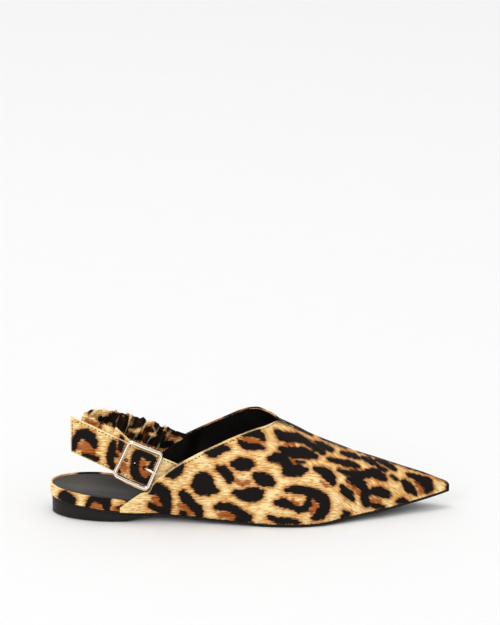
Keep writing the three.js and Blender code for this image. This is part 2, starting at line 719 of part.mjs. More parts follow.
function freePoint(side, row, rise) {
  const last = side === "lateral" ? STRAP_ROOT[2] : ELASTIC_ROOT[1];
  const anchor = soleTop(last.at * LENGTH) + rise * INSTEP_RISE;
  const outward = side === "lateral" ? -1 : 1;
  return new THREE.Vector3(
    row.at * LENGTH,
    (outward * row.out * HEEL_WIDTH) / 2,
    mix(anchor, SLING_RISE, row.climb),
  );
}

const strapDepth = 2 * GAP + STRAP_THICKNESS / 2 + 0.1;
const strapTrack = new Track(
  [
    ...STRAP_LINE.map((row) => freePoint("lateral", row, STRAP_ROOT_RISE)),
    ...STRAP_ROOT.map((row) => rootPoint("lateral", row, STRAP_ROOT_RISE, strapDepth)),
  ],
  SLING_LEAN,
  1,
);
strapTrack.zero = strapTrack.distanceAt(BUCKLE_AT * LENGTH);

// Depths outward from the middle of the flat strap
const STRAP_FACE = STRAP_THICKNESS / 2;
const FRAME_BACK = STRAP_FACE + GAP;
const FRAME_FRONT = FRAME_BACK + BAR_DEPTH;
const TAB_FRONT = -STRAP_FACE - GAP;
const PIN_MIDDLE = TAB_FRONT - TAB_LAYER - GAP - PIN_DIAMETER / 2;
const LOOP_RADIUS = PIN_DIAMETER / 2 + GAP + TAB_LAYER;
const OPENING = STRAP_WIDTH + 2 * STRAP_PLAY;
const PRONG_HOLE = 4.4; // first hole ahead of the bar

function boxBetween(low, high, cuts) {
  const size = high.map((n, k) => n - low[k]);
  const made = new THREE.BoxGeometry(...size, ...cuts);
  return made.translate(...low.map((n, k) => (n + high[k]) / 2));
}

function rod(radius, from, to, sides) {
  const a = new THREE.Vector3(...from);
  const b = new THREE.Vector3(...to);
  const made = new THREE.CylinderGeometry(radius, radius, a.distanceTo(b), sides);
  const along = b.clone().sub(a).normalize();
  made.applyQuaternion(
    new THREE.Quaternion().setFromUnitVectors(new THREE.Vector3(0, 1, 0), along),
  );
  const middle = a.add(b).multiplyScalar(0.5);
  return made.translate(middle.x, middle.y, middle.z);
}

// The prong runs under the strap, up through its hole and over the frame
const prongRadius = PRONG_DIAMETER / 2;
const PRONG_LINE = [
  [PIN_DIAMETER / 2 + GAP + prongRadius, PIN_MIDDLE + 0.1],
  [PRONG_HOLE - 0.9, PIN_MIDDLE + 1.3],
  [PRONG_HOLE + 0.2, 0],
  [PRONG_HOLE + 2.2, FRAME_BACK + 1.4],
  [BUCKLE_LENGTH / 2 - BAR_WIDTH - 0.6, FRAME_FRONT + GAP + prongRadius + 0.1],
  [BUCKLE_LENGTH / 2 - 0.7, FRAME_FRONT + GAP + prongRadius],
];

function prongRod(extra) {
  const path = new THREE.CatmullRomCurve3(
    PRONG_LINE.map(([along, depth]) => new THREE.Vector3(along, 0, depth)),
    false,
    "centripetal",
  );
  const sides = 8;
  const count = 14;
  const sections = Array.from({ length: count + 1 }, (_, i) => {
    const t = i / count;
    const p = path.getPointAt(t);
    const d = path.getTangentAt(t);
    const up = new THREE.Vector3(-d.z, 0, d.x);
    const radius = (prongRadius + extra) * mix(1, 0.72, smoothstep(t, 0.75, 1));
    return Array.from({ length: sides }, (_, k) => {
      const angle = (2 * Math.PI * k) / sides;
      return p
        .clone()
        .addScaledVector(up, radius * Math.cos(angle))
        .add(new THREE.Vector3(0, radius * Math.sin(angle), 0));
    });
  });
  return loft(sections);
}

function prongGeometry() {
  const eye = new THREE.Shape();
  eye.absarc(0, 0, LOOP_RADIUS, 0, 2 * Math.PI, false);
  const hole = new THREE.Path();
  hole.absarc(0, 0, PIN_DIAMETER / 2 + GAP, 0, 2 * Math.PI, true);
  eye.holes.push(hole);
  const ring = new THREE.ExtrudeGeometry(eye, {
    depth: PRONG_EYE,
    bevelEnabled: false,
    curveSegments: 7,
  });
  ring.translate(0, 0, -PRONG_EYE / 2).rotateX(Math.PI / 2);
  ring.translate(0, 0, PIN_MIDDLE);
  const joined = solidOf(ring).add(solidOf(prongRod(0)));
  return strapTrack.bend(geometryOf(joined));
}

// Flat strap, cut upright at its free end and punched for the prong
const STRAP_CUT = 0.46; // slant of the free end, along per unit of width

function strapGeometry() {
  const back = -strapTrack.zero;
  const front = strapTrack.length - strapTrack.zero;
  const flat = boxBetween([0, -0.5, -0.5], [1, 0.5, 0.5], [40, 4, 1]);
  const p = flat.getAttribute("position");
  for (let i = 0; i < p.count; i += 1) {
    const width = p.getY(i) * STRAP_WIDTH;
    const start = back - width * STRAP_CUT;
    p.setXYZ(i, mix(start, front, p.getX(i)), width, p.getZ(i) * STRAP_THICKNESS);
  }
  let solid = solidOf(flat);
  for (let k = -3; k <= 1; k += 1) {
    if (k !== 0) {
      const at = PRONG_HOLE + k * HOLE_PITCH;
      const punch = rod(HOLE_DIAMETER / 2, [at, 0, -3], [at, 0, 3], 12);
      solid = solid.subtract(solidOf(punch));
    }
  }
  solid = solid.subtract(solidOf(prongRod(GAP)));
  return strapTrack.bend(geometryOf(solid));
}

// Tab: folded round the bar, open in the middle for the prong's eye
function tabGeometry() {
  const rear = -TAB_LENGTH;
  const join = -LOOP_RADIUS - TAB_FOLD;
  const back = TAB_FRONT - 2 * TAB_LAYER;
  const half = OPENING / 2 - 2 * STRAP_PLAY;
  const shape = new THREE.Shape();
  shape.moveTo(join, TAB_FRONT);
  shape.lineTo(join, back);
  shape.lineTo(-LOOP_RADIUS * 0.6, PIN_MIDDLE - LOOP_RADIUS);
  shape.absarc(0, PIN_MIDDLE, LOOP_RADIUS, -Math.PI / 2, Math.PI / 2, false);
  const eye = new THREE.Path();
  const turn = 0.2; // keeps the hole's corners off the line of the fold
  eye.absarc(0, PIN_MIDDLE, PIN_DIAMETER / 2 + GAP, turn, turn + 2 * Math.PI, true);
  shape.holes.push(eye);
  const fold = new THREE.ExtrudeGeometry(shape, {
    depth: 2 * half,
    steps: 6,
    bevelEnabled: false,
    curveSegments: 6,
  });
  fold.translate(0, 0, -half).rotateX(-Math.PI / 2).scale(1, 1, -1);
  const tail = loft(
    [join + 0.5, join, mix(join, rear, 0.3), mix(join, rear, 0.65), rear].map((along) => {
      const behind = clamp((join - along) / (join - rear), 0, 1);
      const wide = half + TAB_WIDEN * behind;
      const rise = TAB_RISE * behind ** 1.3;
      return [
        new THREE.Vector3(along, rise - wide, back),
        new THREE.Vector3(along, rise, back),
        new THREE.Vector3(along, rise + wide, back),
        new THREE.Vector3(along, rise + wide, TAB_FRONT),
        new THREE.Vector3(along, rise, TAB_FRONT),
        new THREE.Vector3(along, rise - wide, TAB_FRONT),
      ];
    }),
  );
  const split = PRONG_EYE / 2 + GAP;
  const slot = boxBetween([-LOOP_RADIUS - 1, -split, -20], [LOOP_RADIUS + 1, split, 20], [1, 1, 1]);
  const whole = solidOf(outwards(welded(fold))).add(solidOf(tail)).subtract(solidOf(slot));
  return strapTrack.bend(geometryOf(whole));
}

// Elastic in its ruched cloth
const elasticDepth = (flat) => GAP + flat / 2 + 0.3;
const elasticLead = [
  [-TAB_LENGTH - 1.5 * GAP, TAB_FRONT - TAB_LAYER - 0.2],
  [-TAB_LENGTH - TAB_FOLD, TAB_FRONT - TAB_LAYER - 0.4],
].map(([along, depth]) => strapTrack.place(along, ELASTIC_RISE, depth));
const elasticTrack = new Track(
  [
    ...elasticLead,
    ...ELASTIC_LINE.map((row) => freePoint("medial", row, ELASTIC_ROOT_RISE)),
    ...ELASTIC_ROOT.map((row) =>
      rootPoint("medial", row, ELASTIC_ROOT_RISE, elasticDepth(ELASTIC_FLAT)),
    ),
  ],
  SLING_LEAN,
  -1,
);

function elasticGeometry() {
  const folds = Math.round(elasticTrack.length / RUCHE_PITCH);
  const count = folds * 4;
  const round = 12;
  const sections = Array.from({ length: count + 1 }, (_, i) => {
    const t = i / count;
    const along = t * elasticTrack.length;
    const ends = Math.min(smoothstep(t, ...GATHER_STARTS), 1 - smoothstep(t, ...GATHER_ENDS));
    const wave = Math.sin(2 * Math.PI * folds * t + 1.1 * Math.sin(9.3 * t) + 0.8 * Math.sin(23 * t));
    const thick = mix(ELASTIC_FLAT, ELASTIC_THICKNESS, ends) / 2 + RUCHE_DEPTH * 0.5 * wave * ends;
    const half = ELASTIC_WIDTH / 2 + RUCHE_DEPTH * wave * ends;
    return Array.from({ length: round }, (_, k) => {
      const angle = (2 * Math.PI * (k + 0.5)) / round;
      const c = Math.cos(angle);
      const s = Math.sin(angle);
      const width = half * Math.sign(c) * Math.abs(c) ** 0.75;
      const depth = thick * Math.sign(s) * Math.abs(s) ** 0.6;
      return elasticTrack.place(along, width, depth);
    });
  });
  return loft(sections);
}

// Buckle: bevelled frame, with the bar behind the strap on two short posts
function roundedBox(path, halfLength, halfWidthOf, radius) {
  const [a, b, r] = [halfLength, halfWidthOf, radius];
  path.moveTo(-a + r, -b);
  path.lineTo(a - r, -b);
  path.absarc(a - r, -b + r, r, -Math.PI / 2, 0, false);
  path.lineTo(a, b - r);
  path.absarc(a - r, b - r, r, 0, Math.PI / 2, false);
  path.lineTo(-a + r, b);
  path.absarc(-a + r, b - r, r, Math.PI / 2, Math.PI, false);
  path.lineTo(-a, -b + r);
  path.absarc(-a + r, -b + r, r, Math.PI, 1.5 * Math.PI, false);
  return path;
}

function buckleGeometry() {
  const bevel = BAR_DEPTH * 0.3;
  const halfLong = BUCKLE_LENGTH / 2;
  const halfWide = OPENING / 2 + BAR_WIDTH;
  const shape = roundedBox(
    new THREE.Shape(),
    halfLong - bevel,
    halfWide - bevel,
    CORNER_RADIUS - bevel,
  );
  const inner = CORNER_RADIUS - BAR_WIDTH + bevel;
  shape.holes.push(
    roundedBox(
      new THREE.Path(),
      halfLong - BAR_WIDTH + bevel,
      OPENING / 2 + bevel,
      inner,
    ),
  );
  const ring = new THREE.ExtrudeGeometry(shape, {
    depth: BAR_DEPTH - 2 * bevel,
    bevelThickness: bevel,
    bevelSize: bevel,
    bevelSegments: 2,
    curveSegments: 4,
  });
  ring.translate(0, 0, FRAME_BACK + bevel);
  const reach = OPENING / 2 + PIN_DIAMETER / 2 + 0.2;
  const radius = PIN_DIAMETER / 2;
  let solid = solidOf(ring);
  solid = solid.add(solidOf(rod(radius, [0, -reach, PIN_MIDDLE], [0, reach, PIN_MIDDLE], 10)));
  [-1, 1].forEach((end) => {
    const inside = end * (OPENING / 2 + 0.15);
    const outside = end * (OPENING / 2 + 0.15 + PIN_DIAMETER);
    const low = [-radius, Math.min(inside, outside), PIN_MIDDLE - radius];
    const high = [radius, Math.max(inside, outside), FRAME_BACK + BAR_DEPTH / 2];
    solid = solid.add(solidOf(boxBetween(low, high, [1, 1, 1])));
  });
  return strapTrack.bend(geometryOf(solid));
}

// The shoe
const finishes = {
  print: { color: 0xc99a55, roughness: 0.55, metalness: 0 },
  black: { color: 0x221f1d, roughness: 0.5, metalness: 0 },
  lining: { color: 0x2c2b2b, roughness: 0.6, metalness: 0 },
  metal: { color: 0xe8d3ad, roughness: 0.2, metalness: 1 },
};
const pieces = [
  ["upper", upperGeometry(), finishes.print],
  ["outsole", outsoleGeometry(), finishes.black],
  ["heel", heelGeometry(), finishes.black],
  ["heel_band", bandGeometry(), finishes.print],
  ["insole", insoleGeometry(), finishes.lining],
  ["strap", strapGeometry(), finishes.print],
  ["elastic", elasticGeometry(), finishes.print],
  ["tab", tabGeometry(), finishes.print],
  ["buckle", buckleGeometry(), finishes.metal],
  ["prong", prongGeometry(), finishes.metal],
];

const shoe = new THREE.Group();
pieces.forEach(([name, geometry, finish]) => {
  geometry.computeVertexNormals();
  const mesh = new THREE.Mesh(geometry, new THREE.MeshStandardMaterial(finish));
  mesh.name = name;
  shoe.add(mesh);
});

// The origin goes under the middle of the outline, on the floor
const bounds = new THREE.Box3().setFromObject(shoe);
const middle = bounds.getCenter(new THREE.Vector3());
shoe.children.forEach((mesh) => mesh.position.set(-middle.x, -middle.y, -bounds.min.z));

export default shoe;
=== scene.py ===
"""Looks of a pointed slingback flat in leopard print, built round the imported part.

Sizes below are the shoe's own, in millimetres: x from the heel seat to the toe, y towards the
inner side of the foot, z up. They are turned into the frame's metres when a mesh is made.
"""

import math

import bmesh
import bpy
import numpy as np
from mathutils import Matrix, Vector

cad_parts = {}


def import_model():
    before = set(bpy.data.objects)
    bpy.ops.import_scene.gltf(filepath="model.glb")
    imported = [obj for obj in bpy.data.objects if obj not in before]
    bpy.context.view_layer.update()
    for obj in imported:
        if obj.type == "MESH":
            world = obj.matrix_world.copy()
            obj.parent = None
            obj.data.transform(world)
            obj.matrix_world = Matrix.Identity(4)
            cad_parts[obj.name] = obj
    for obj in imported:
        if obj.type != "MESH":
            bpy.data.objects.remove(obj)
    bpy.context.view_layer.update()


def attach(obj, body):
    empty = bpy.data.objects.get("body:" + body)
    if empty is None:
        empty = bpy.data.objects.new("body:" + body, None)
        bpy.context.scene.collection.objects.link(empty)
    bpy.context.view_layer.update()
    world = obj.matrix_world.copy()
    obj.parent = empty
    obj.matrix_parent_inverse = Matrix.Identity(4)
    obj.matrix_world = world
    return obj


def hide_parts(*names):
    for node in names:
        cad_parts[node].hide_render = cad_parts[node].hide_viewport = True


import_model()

# Shoe
LENGTH = 265.0
BALL_WIDTH = 78.0
HEEL_WIDTH = 56.0
INSTEP_RISE = 60.0
TOE_SPRING = 11.0
TOE_SWING = 4.5
HEEL_HEIGHT = 9.8
SOLE_THICKNESS = 1.6
WALL = 1.6
GAP = 0.3
HEEL_MIDDLE = 0.166
BALL_MIDDLE = 0.592
WING_START = 0.176
NOTCH_END = 0.608
THROAT_FULLNESS = 2.2  # roof gained per share of the length behind the throat
HOLLOW_END = 0.962  # the toe is solid past this share
QUARTER_TO_VAMP = (0.455, 0.53)  # shares of the length where one form turns into the next
SEAT_TO_FOREPART = (0.15, 0.5)
LAP_ENDS = (0.215, 0.265)
BAND_TUCKS_IN = (0.126, 0.152)
BAND_THINS = (0.172, 0.232)
TUCKED_GAP = 1.3 * GAP
FAR = 99.0  # further than any mark reaches
SHOE_ORIGIN = np.array([132.25, -0.3114, 0.0])  # the frame's origin, in the shoe's sizes

# Heel seat
BAND_HEIGHT = 8.4
BAND_THICKNESS = 2.9
BAND_BULGE = 0.5
BAND_END_THICKNESS = 1.2
BAND_END = 0.232
PAD_BELOW_BAND = 1.1
PAD_DISH = 3.0
BAND_SLIM = 0.55  # thinner here than the solid, under its rolled edge
BAND_END_HEIGHT = 0.55  # of the band's height, where it ends inside the wing
SOLE_EDGE = (0.5, 0.3)  # round of the sole below and above
HEEL_EDGE = 1.1
HEEL_TOP_EDGE = 0.3
HEEL_INSET = 0.25
HEEL_TO_SOLE = 0.05
BAND_TO_SOLE = 0.1
SOLE_INSET = 0.1
SOCK_RIM_RISE = 0.5
SOCK_GAP = 0.12
SOCK_BACK_GAP = 0.2
SOCK_LEAST_DISH = 0.35
SOCK_EDGE = (0.4, 1.3)  # round of the sock below and above
SOCK_SEAM = 2.6  # pressed line inside the rim
SOCK_SEAM_WIDTH = 0.7
SOCK_SEAM_DEPTH = 0.35
SOCK_HALF_WIDTH = 24.0  # at the seat, to place that line
SOCK_DISH_RUN = 16.0  # from the back edge to the full dish
SOCK_PAINTED_HIGHLIGHT = ((20.0, 5.0), (22.0, 15.0))  # middle and reach of the painted highlight on the seat
PAD_THIN = 3.4
PAD_END = 0.93
HEEL_FLAT_END = 0.187
HEEL_TIP = 0.243
HEEL_TIP_THICKNESS = 0.5

# Sling
SLING_RISE = 57.8
STRAP_WIDTH = 21.8
STRAP_THICKNESS = 1.8
SLING_LEAN = 0.1  # inward per unit of height
TRACK_STEP = 0.6  # half the run over which a track's direction is taken
ELASTIC_WIDTH = 19.0
ELASTIC_THICKNESS = 4.4
ELASTIC_FLAT = 2.0
ELASTIC_SLIM = 0.3  # thinner than the solid, before the gathers stand out
STRAP_ROOT_RISE = 0.305
ELASTIC_ROOT_RISE = 0.508
TAB_LAYER = 1.2
TAB_LENGTH = 24.0
TAB_FOLD = 3.5
TAB_WIDEN = 1.7
TAB_RISE = 4.0
TAB_SLIT = 0.02  # half the space between the tab's layers
TAB_POCKET = 0.7  # the same round the elastic's flat end
TAB_POCKET_CLOSES = 2.0  # run over which the layers come together again
EYE_SLIT = (2.4, 1.0)  # behind the fold, where the slit starts and where it is full
ELASTIC_RISE = 5.8
STRAP_CUT = 0.46  # slant of the free end, along per unit of width
STRAP_FLAT = 0.94  # share of the half-width that is flat
STRAP_EDGE_THINS = 0.6
STRAP_PLAY = 0.35
HOLE_DIAMETER = 2.2
HOLE_PITCH = 6.5
HOLES = range(-3, 2)  # counted from the one that the prong is in
HOLE_SIDES = {  # neighbour of a cut-out square: the two corners that they share
    (-1, 0): ((0, 0), (0, 1)),
    (1, 0): ((1, 0), (1, 1)),
    (0, -1): ((0, 0), (1, 0)),
    (0, 1): ((0, 1), (1, 1)),
}
HOLE_SINK = 0.16  # cloth pressed in round a hole
HOLE_SINK_REACH = 0.8
HOLE_SNAP = 0.24  # points this near a hole's edge are moved on to it
PRONG_HOLE = 4.4
BUCKLE_AT = 0.222
STRAP_FACE = STRAP_THICKNESS / 2
TAB_FRONT = -STRAP_FACE - GAP
TUCK = 7.0  # how far the gathered cloth runs on under the tab
GATHER_PITCH = 5.4
GATHER_DEPTH = 3.3
GATHERS_START = (-1.0, 7.0)  # along the elastic, in millimetres
GATHERS_END = (0.86, 0.96)  # shares of its length
GATHER_RIDGE = 0.7  # how far a ridge that was read from the view stands out
FLAT_END_THICKNESS = 0.9
FLAT_END_NARROWS = 1.2
RIM_DEPTH = 2.4
COVER_START = 62.0  # the lining over the roots of strap and elastic
COVER_END = 106.0
COVER_GAP = 0.55
COVER_LEAST = 0.06
COVER_FADES = (0.5, 9.0)  # from the root's edge back to the bare wall
ROOT_RUN = 30.0
EDGE_HIGHLIGHT = {"lateral": 0.45, "medial": 0.75}  # how pale the painted highlight on the folded edge is, as a distance from it

# Buckle
BUCKLE_LENGTH = 26.0
BAR_WIDTH = 2.7
BAR_DEPTH = 2.0
CORNER_RADIUS = 4.0
PIN_RADIUS = 0.9
POST_WIDTH = 1.8  # from the opening into the frame, where a post carries the pin
POST_START = 0.15
PLAN_STEP = 0.8  # between points along the frame
ROUND_POINTS = 16
PRONG_TAPER = 0.72
OPENING = STRAP_WIDTH + 2 * STRAP_PLAY
FRAME_BACK = STRAP_FACE + GAP
FRAME_FRONT = FRAME_BACK + BAR_DEPTH
PIN_MIDDLE = TAB_FRONT - TAB_LAYER - GAP - PIN_RADIUS
PRONG_RADIUS = 0.8
PRONG_EYE = 3.0
LOOP_RADIUS = PIN_RADIUS + GAP + TAB_LAYER
PRONG_LINE = [
    (PIN_RADIUS + GAP + PRONG_RADIUS, PIN_MIDDLE + 0.1),
    (PRONG_HOLE - 0.9, PIN_MIDDLE + 1.3),
    (PRONG_HOLE + 0.2, 0),
    (PRONG_HOLE + 2.2, FRAME_BACK + 1.4),
    (BUCKLE_LENGTH / 2 - BAR_WIDTH - 0.6, FRAME_FRONT + GAP + PRONG_RADIUS + 0.1),
    (BUCKLE_LENGTH / 2 - 0.7, FRAME_FRONT + GAP + PRONG_RADIUS),
]
# Bar across, as (inwards, outward) shares: finish 0 on the flats, 1 on the bevels, whose darker gold is
# painted shade
BAR_SECTION = [
    (1, [(0.0, 0.3), (0.0, 0.68)]),
    (0, [(0.0, 0.68), (0.2, 1.0)]),
    (1, [(0.2, 1.0), (0.35, 0.82)]),
    (0, [(0.35, 0.82), (0.65, 0.82)]),
    (1, [(0.65, 0.82), (0.8, 1.0)]),
    (0, [(0.8, 1.0), (1.0, 0.68)]),
    (1, [(1.0, 0.68), (1.0, 0.3), (0.8, 0.0), (0.2, 0.0), (0.0, 0.3)]),
]

# Points along and across the forms
QUARTER_STEPS = 132
VAMP_STEPS = 108
OUTER_STEPS = 62
INNER_STEPS = 25
SOCK_STEPS = 70
STRAP_COLUMNS = 63
STRAP_ROWS = 250

# Thread
STITCH_PITCH = 2.5
STITCH_LENGTH = 1.7
THREAD_RADIUS = 0.26
SEAM_BELOW = 1.6
SEAM_START = 76.0  # the seam of the topline starts ahead of the buckle
STRAP_SEAM = 1.3
SEAM_DENT = 0.9  # half-width of the dent that the seam draws in the cloth
STITCH_SWELL = np.array([0.15, 0.8, 1, 1, 0.8, 0.15])  # thickness along one stitch
STITCH_BOW = np.array([-0.8, 0.6, 1, 1, 0.6, -0.8])  # height along one stitch
UPPER_LIFT = 0.1
STRAP_LIFT = 0.06

OUTWARD = {"lateral": -1.0, "medial": 1.0}


def mix(a, b, t):
    """From a to b by the share t."""
    return a + (b - a) * t


def ease(value, low, high):
    """0 up to low, 1 from high on, and smooth between."""
    t = np.clip((value - low) / (high - low), 0.0, 1.0)
    return t * t * (3 - 2 * t)


class Table:
    """A short table with named columns, read along the length on a smooth line."""

    def __init__(self, names, *rows):
        self.columns = {name: [row[i] for row in rows] for i, name in enumerate(names.split())}

    def read(self, column, share):
        at, values = self.columns["at"], self.columns[column]
        last = len(at) - 1
        if share <= at[0]:
            return values[0]
        if share >= at[last]:
            return values[last]
        i = 0
        while at[i + 1] < share:
            i += 1

        def slope(k):
            return (values[k + 1] - values[k]) / (at[k + 1] - at[k])

        def tangent(k):
            if k in (0, last):
                return slope(min(k, last - 1))
            before, after = slope(k - 1), slope(k)
            return 0.0 if before * after <= 0 else 2 * before * after / (before + after)

        span = at[i + 1] - at[i]
        t = (share - at[i]) / span
        bend = span * t * (1 - t) * ((1 - t) * tangent(i) - t * tangent(i + 1))
        return mix(values[i], values[i + 1], t * t * (3 - 2 * t)) + bend

    def rows(self):
        names = list(self.columns)
        return [dict(zip(names, row)) for row in zip(*self.columns.values())]


OUTLINE = Table(
    "at lateral medial",
    (0.166, 1, 0.985),
    (0.211, 0.972, 0.926),
    (0.253, 0.925, 0.839),
    (0.309, 0.906, 0.729),
    (0.377, 0.928, 0.661),
    (0.43, 0.94, 0.678),
    (0.487, 0.964, 0.763),
    (0.547, 0.992, 0.867),
    (0.592, 1.005, 0.94),
    (0.623, 1, 0.974),
    (0.672, 0.949, 0.987),
    (0.7245, 0.815, 0.903),
    (0.777, 0.659, 0.769),
    (0.838, 0.503, 0.582),
    (0.887, 0.349, 0.4),
    (0.936, 0.221, 0.231),
    (0.974, 0.113, 0.115),
    (1, 0.03, 0.03),
)
UNDERSIDE = Table(
    "at heel toe",
    (0, 1, 0),
    (0.109, 0.735, 0),
    (0.151, 0.612, 0),
    (0.181, 0.52, 0),
    (0.249, 0.43, 0),
    (0.309, 0.34, 0),
    (0.377, 0.24, 0),
    (0.43, 0.163, 0),
    (0.487, 0.085, 0),
    (0.543, 0, 0),
    (0.642, 0, 0),
    (0.68, 0, 0.045),
    (0.7245, 0, 0.145),
    (0.777, 0, 0.26),
    (0.838, 0, 0.4),
    (0.887, 0, 0.54),
    (0.936, 0, 0.72),
    (0.974, 0, 0.88),
    (1, 0, 1),
)
TOPLINE = Table(
    "at lateral medial lateral_rise medial_rise",
    (0.176, 1.056, 1.04, 0.045, 0.045),
    (0.204, 1.04, 1.012, 0.146, 0.146),
    (0.23, 1.05, 1.024, 0.23, 0.23),
    (0.2485, 1.045, 1.016, 0.262, 0.31),
    (0.26, 1.039, 1.009, 0.358, 0.365),
    (0.287, 1.027, 0.989, 0.47, 0.47),
    (0.317, 1.007, 0.962, 0.58, 0.58),
    (0.34, 0.981, 0.943, 0.646, 0.641),
    (0.385, 0.908, 0.891, 0.762, 0.749),
    (0.423, 0.832, 0.827, 0.845, 0.84),
    (0.445, 0.778, 0.778, 0.893, 0.895),
    (0.474, 0.705, 0.711, 0.947, 0.967),
    (0.502, 0.609, 0.596, 0.99, 1.027),
    (0.525, 0.509, 0.467, 1.012, 1.055),
    (0.547, 0.323, 0.303, 1.017, 1.052),
    (0.563, 0.128, 0.128, 1.0135, 1.033),
    (0.572, 0.054, 0.054, 0.9995, 1.0065),
    (0.588, 0.025, 0.025, 0.966, 0.969),
    (0.608, 0, 0, 0.923, 0.923),
    (0.624, 0, 0, 0.885, 0.885),
    (0.653, 0, 0, 0.815, 0.815),
    (0.69, 0, 0, 0.735, 0.735),
    (0.732, 0, 0, 0.645, 0.645),
    (0.77, 0, 0, 0.568, 0.568),
    (0.824, 0, 0, 0.472, 0.472),
    (0.872, 0, 0, 0.378, 0.378),
    (0.936, 0, 0, 0.245, 0.245),
    (0.974, 0, 0, 0.145, 0.145),
    (0.992, 0, 0, 0.097, 0.097),
    (1, 0, 0, 0.055, 0.055),
)
FULLNESS = Table(
    "at side roof drop tilt lateral_flare medial_flare",
    (0.176, 0.35, 0, 0.3, 0, 0.1, 0.1),
    (0.317, 0.36, 0.03, 0.34, 0, 0.16, 0.42),
    (0.377, 0.36, 0.08, 0.33, 0, 0.15, 0.46),
    (0.445, 0.38, 0.17, 0.25, 0, 0.12, 0.38),
    (0.502, 0.41, 0.28, 0.13, 0, 0.09, 0.26),
    (0.547, 0.44, 0.4, 0.04, 0.08, 0.06, 0.16),
    (0.608, 0.47, 0.5, 0, 0.18, 0.04, 0.08),
    (0.69, 0.48, 0.51, 0, 0.1, 0.03, 0.04),
    (0.838, 0.5, 0.54, 0, 0.04, 0.02, 0.02),
    (1, 0.52, 0.58, 0, 0, 0, 0),
)
STRAP_LINE = Table(
    "at out climb",
    (0.055, 0.773, 1.039),
    (0.113, 0.835, 0.845),
    (0.17, 0.905, 0.648),
    (0.217, 0.962, 0.485),
)
STRAP_ROOT = Table(
    "at climb",
    (0.27, 0.305),
    (0.317, 0.14),
    (0.355, 0),
)
ELASTIC_LINE = Table(
    "at out climb",
    (0.109, -0.5, 0.965),
    (0.0915, -0.27, 0.96),
    (0.085, 0.02, 0.92),
    (0.0925, 0.31, 0.905),
    (0.1135, 0.56, 0.865),
    (0.15, 0.77, 0.75),
    (0.196, 0.9, 0.57),
    (0.249, 0.945, 0.345),
)
ELASTIC_ROOT = Table(
    "at climb",
    (0.309, 0.085),
    (0.333, 0),
)


# The last: plan outline, underside, sections


def local_half_width(x):
    """Half the width that the outline's shares refer to."""
    share = ease(x, HEEL_MIDDLE * LENGTH, BALL_MIDDLE * LENGTH)
    return mix(HEEL_WIDTH, BALL_WIDTH, share) / 2


def half_width(side, x, inset=0.0):
    """Outline of the shoe on one side, at x."""
    heel = HEEL_MIDDLE * LENGTH
    share = OUTLINE.read(side, x / LENGTH)
    if x >= heel:
        return local_half_width(x) * share - inset
    back = min(max((heel - x) / (heel - inset), 0.0), 1.0)
    return (HEEL_WIDTH / 2 * share - inset) * math.sqrt(1 - back * back)


def swing(x):
    """How far the toe's middle line turns inwards."""
    t = min(max((x / LENGTH - BALL_MIDDLE) / (1 - BALL_MIDDLE), 0.0), 1.0)
    return TOE_SWING * t * t


def underside(x):
    """Height of the sole's underside."""
    share = x / LENGTH
    return HEEL_HEIGHT * UNDERSIDE.read("heel", share) + TOE_SPRING * UNDERSIDE.read("toe", share)


def sole_top(x):
    return underside(x) + SOLE_THICKNESS


def share_along(low, high, x):
    """Smooth step between two shares of the length."""
    return ease(x / LENGTH, low, high)


def lap(x):
    """How far the upper stands outside the sole's line."""
    return WALL * (1 - share_along(*LAP_ENDS, x))


def band_face(x):
    """How far the heel band's face stands outside the same line."""
    return mix(BAND_BULGE, lap(x) - WALL - TUCKED_GAP, share_along(*BAND_TUCKS_IN, x))


def band_thickness(x):
    return mix(BAND_THICKNESS, BAND_END_THICKNESS, share_along(*BAND_THINS, x))


def bezier(points, t):
    """Point on a curve with four control points."""
    a, b, c, d = points
    k = 1 - t
    return k**3 * a + 3 * k * k * t * b + 3 * k * t * t * c + t**3 * d


def bezier_slope(points, t):
    """Direction of the same curve."""
    a, b, c, d = points
    k = 1 - t
    v = 3 * k * k * (b - a) + 6 * k * t * (c - b) + 3 * t * t * (d - c)
    return v / np.linalg.norm(v)


def rib_curve(side, x):
    """One side of the upper across the shoe as (outward, up), and how its points crowd."""
    share = x / LENGTH
    foot = half_width(side, x) + lap(x)
    base = sole_top(x)
    top = local_half_width(x) * TOPLINE.read(side, share)
    rise = INSTEP_RISE * TOPLINE.read(side + "_rise", share)
    roof = foot * FULLNESS.read("roof", share)
    up = rise * FULLNESS.read("side", share)
    flare = up * FULLNESS.read(side + "_flare", share)
    climb = -OUTWARD[side] * roof * FULLNESS.read("tilt", share)
    drop = rise * FULLNESS.read("drop", share)
    points = [
        np.array([foot, base + GAP]),
        np.array([foot + flare, base + GAP + up]),
        np.array([top + roof, base + rise - drop - climb]),
        np.array([top, base + rise]),
    ]
    near = share_along(*QUARTER_TO_VAMP, x)
    if near <= 0 or share >= NOTCH_END:
        return points, lambda t: t
    part, cut = vamp_part(side, x, foot, base, top, rise)
    points = [mix(p, q, near) for p, q in zip(points, part)]
    power = min(3.0, 1 / max(cut, 1e-6))
    return points, lambda t: mix(t, (t - cut * t**power) / (1 - cut), near)


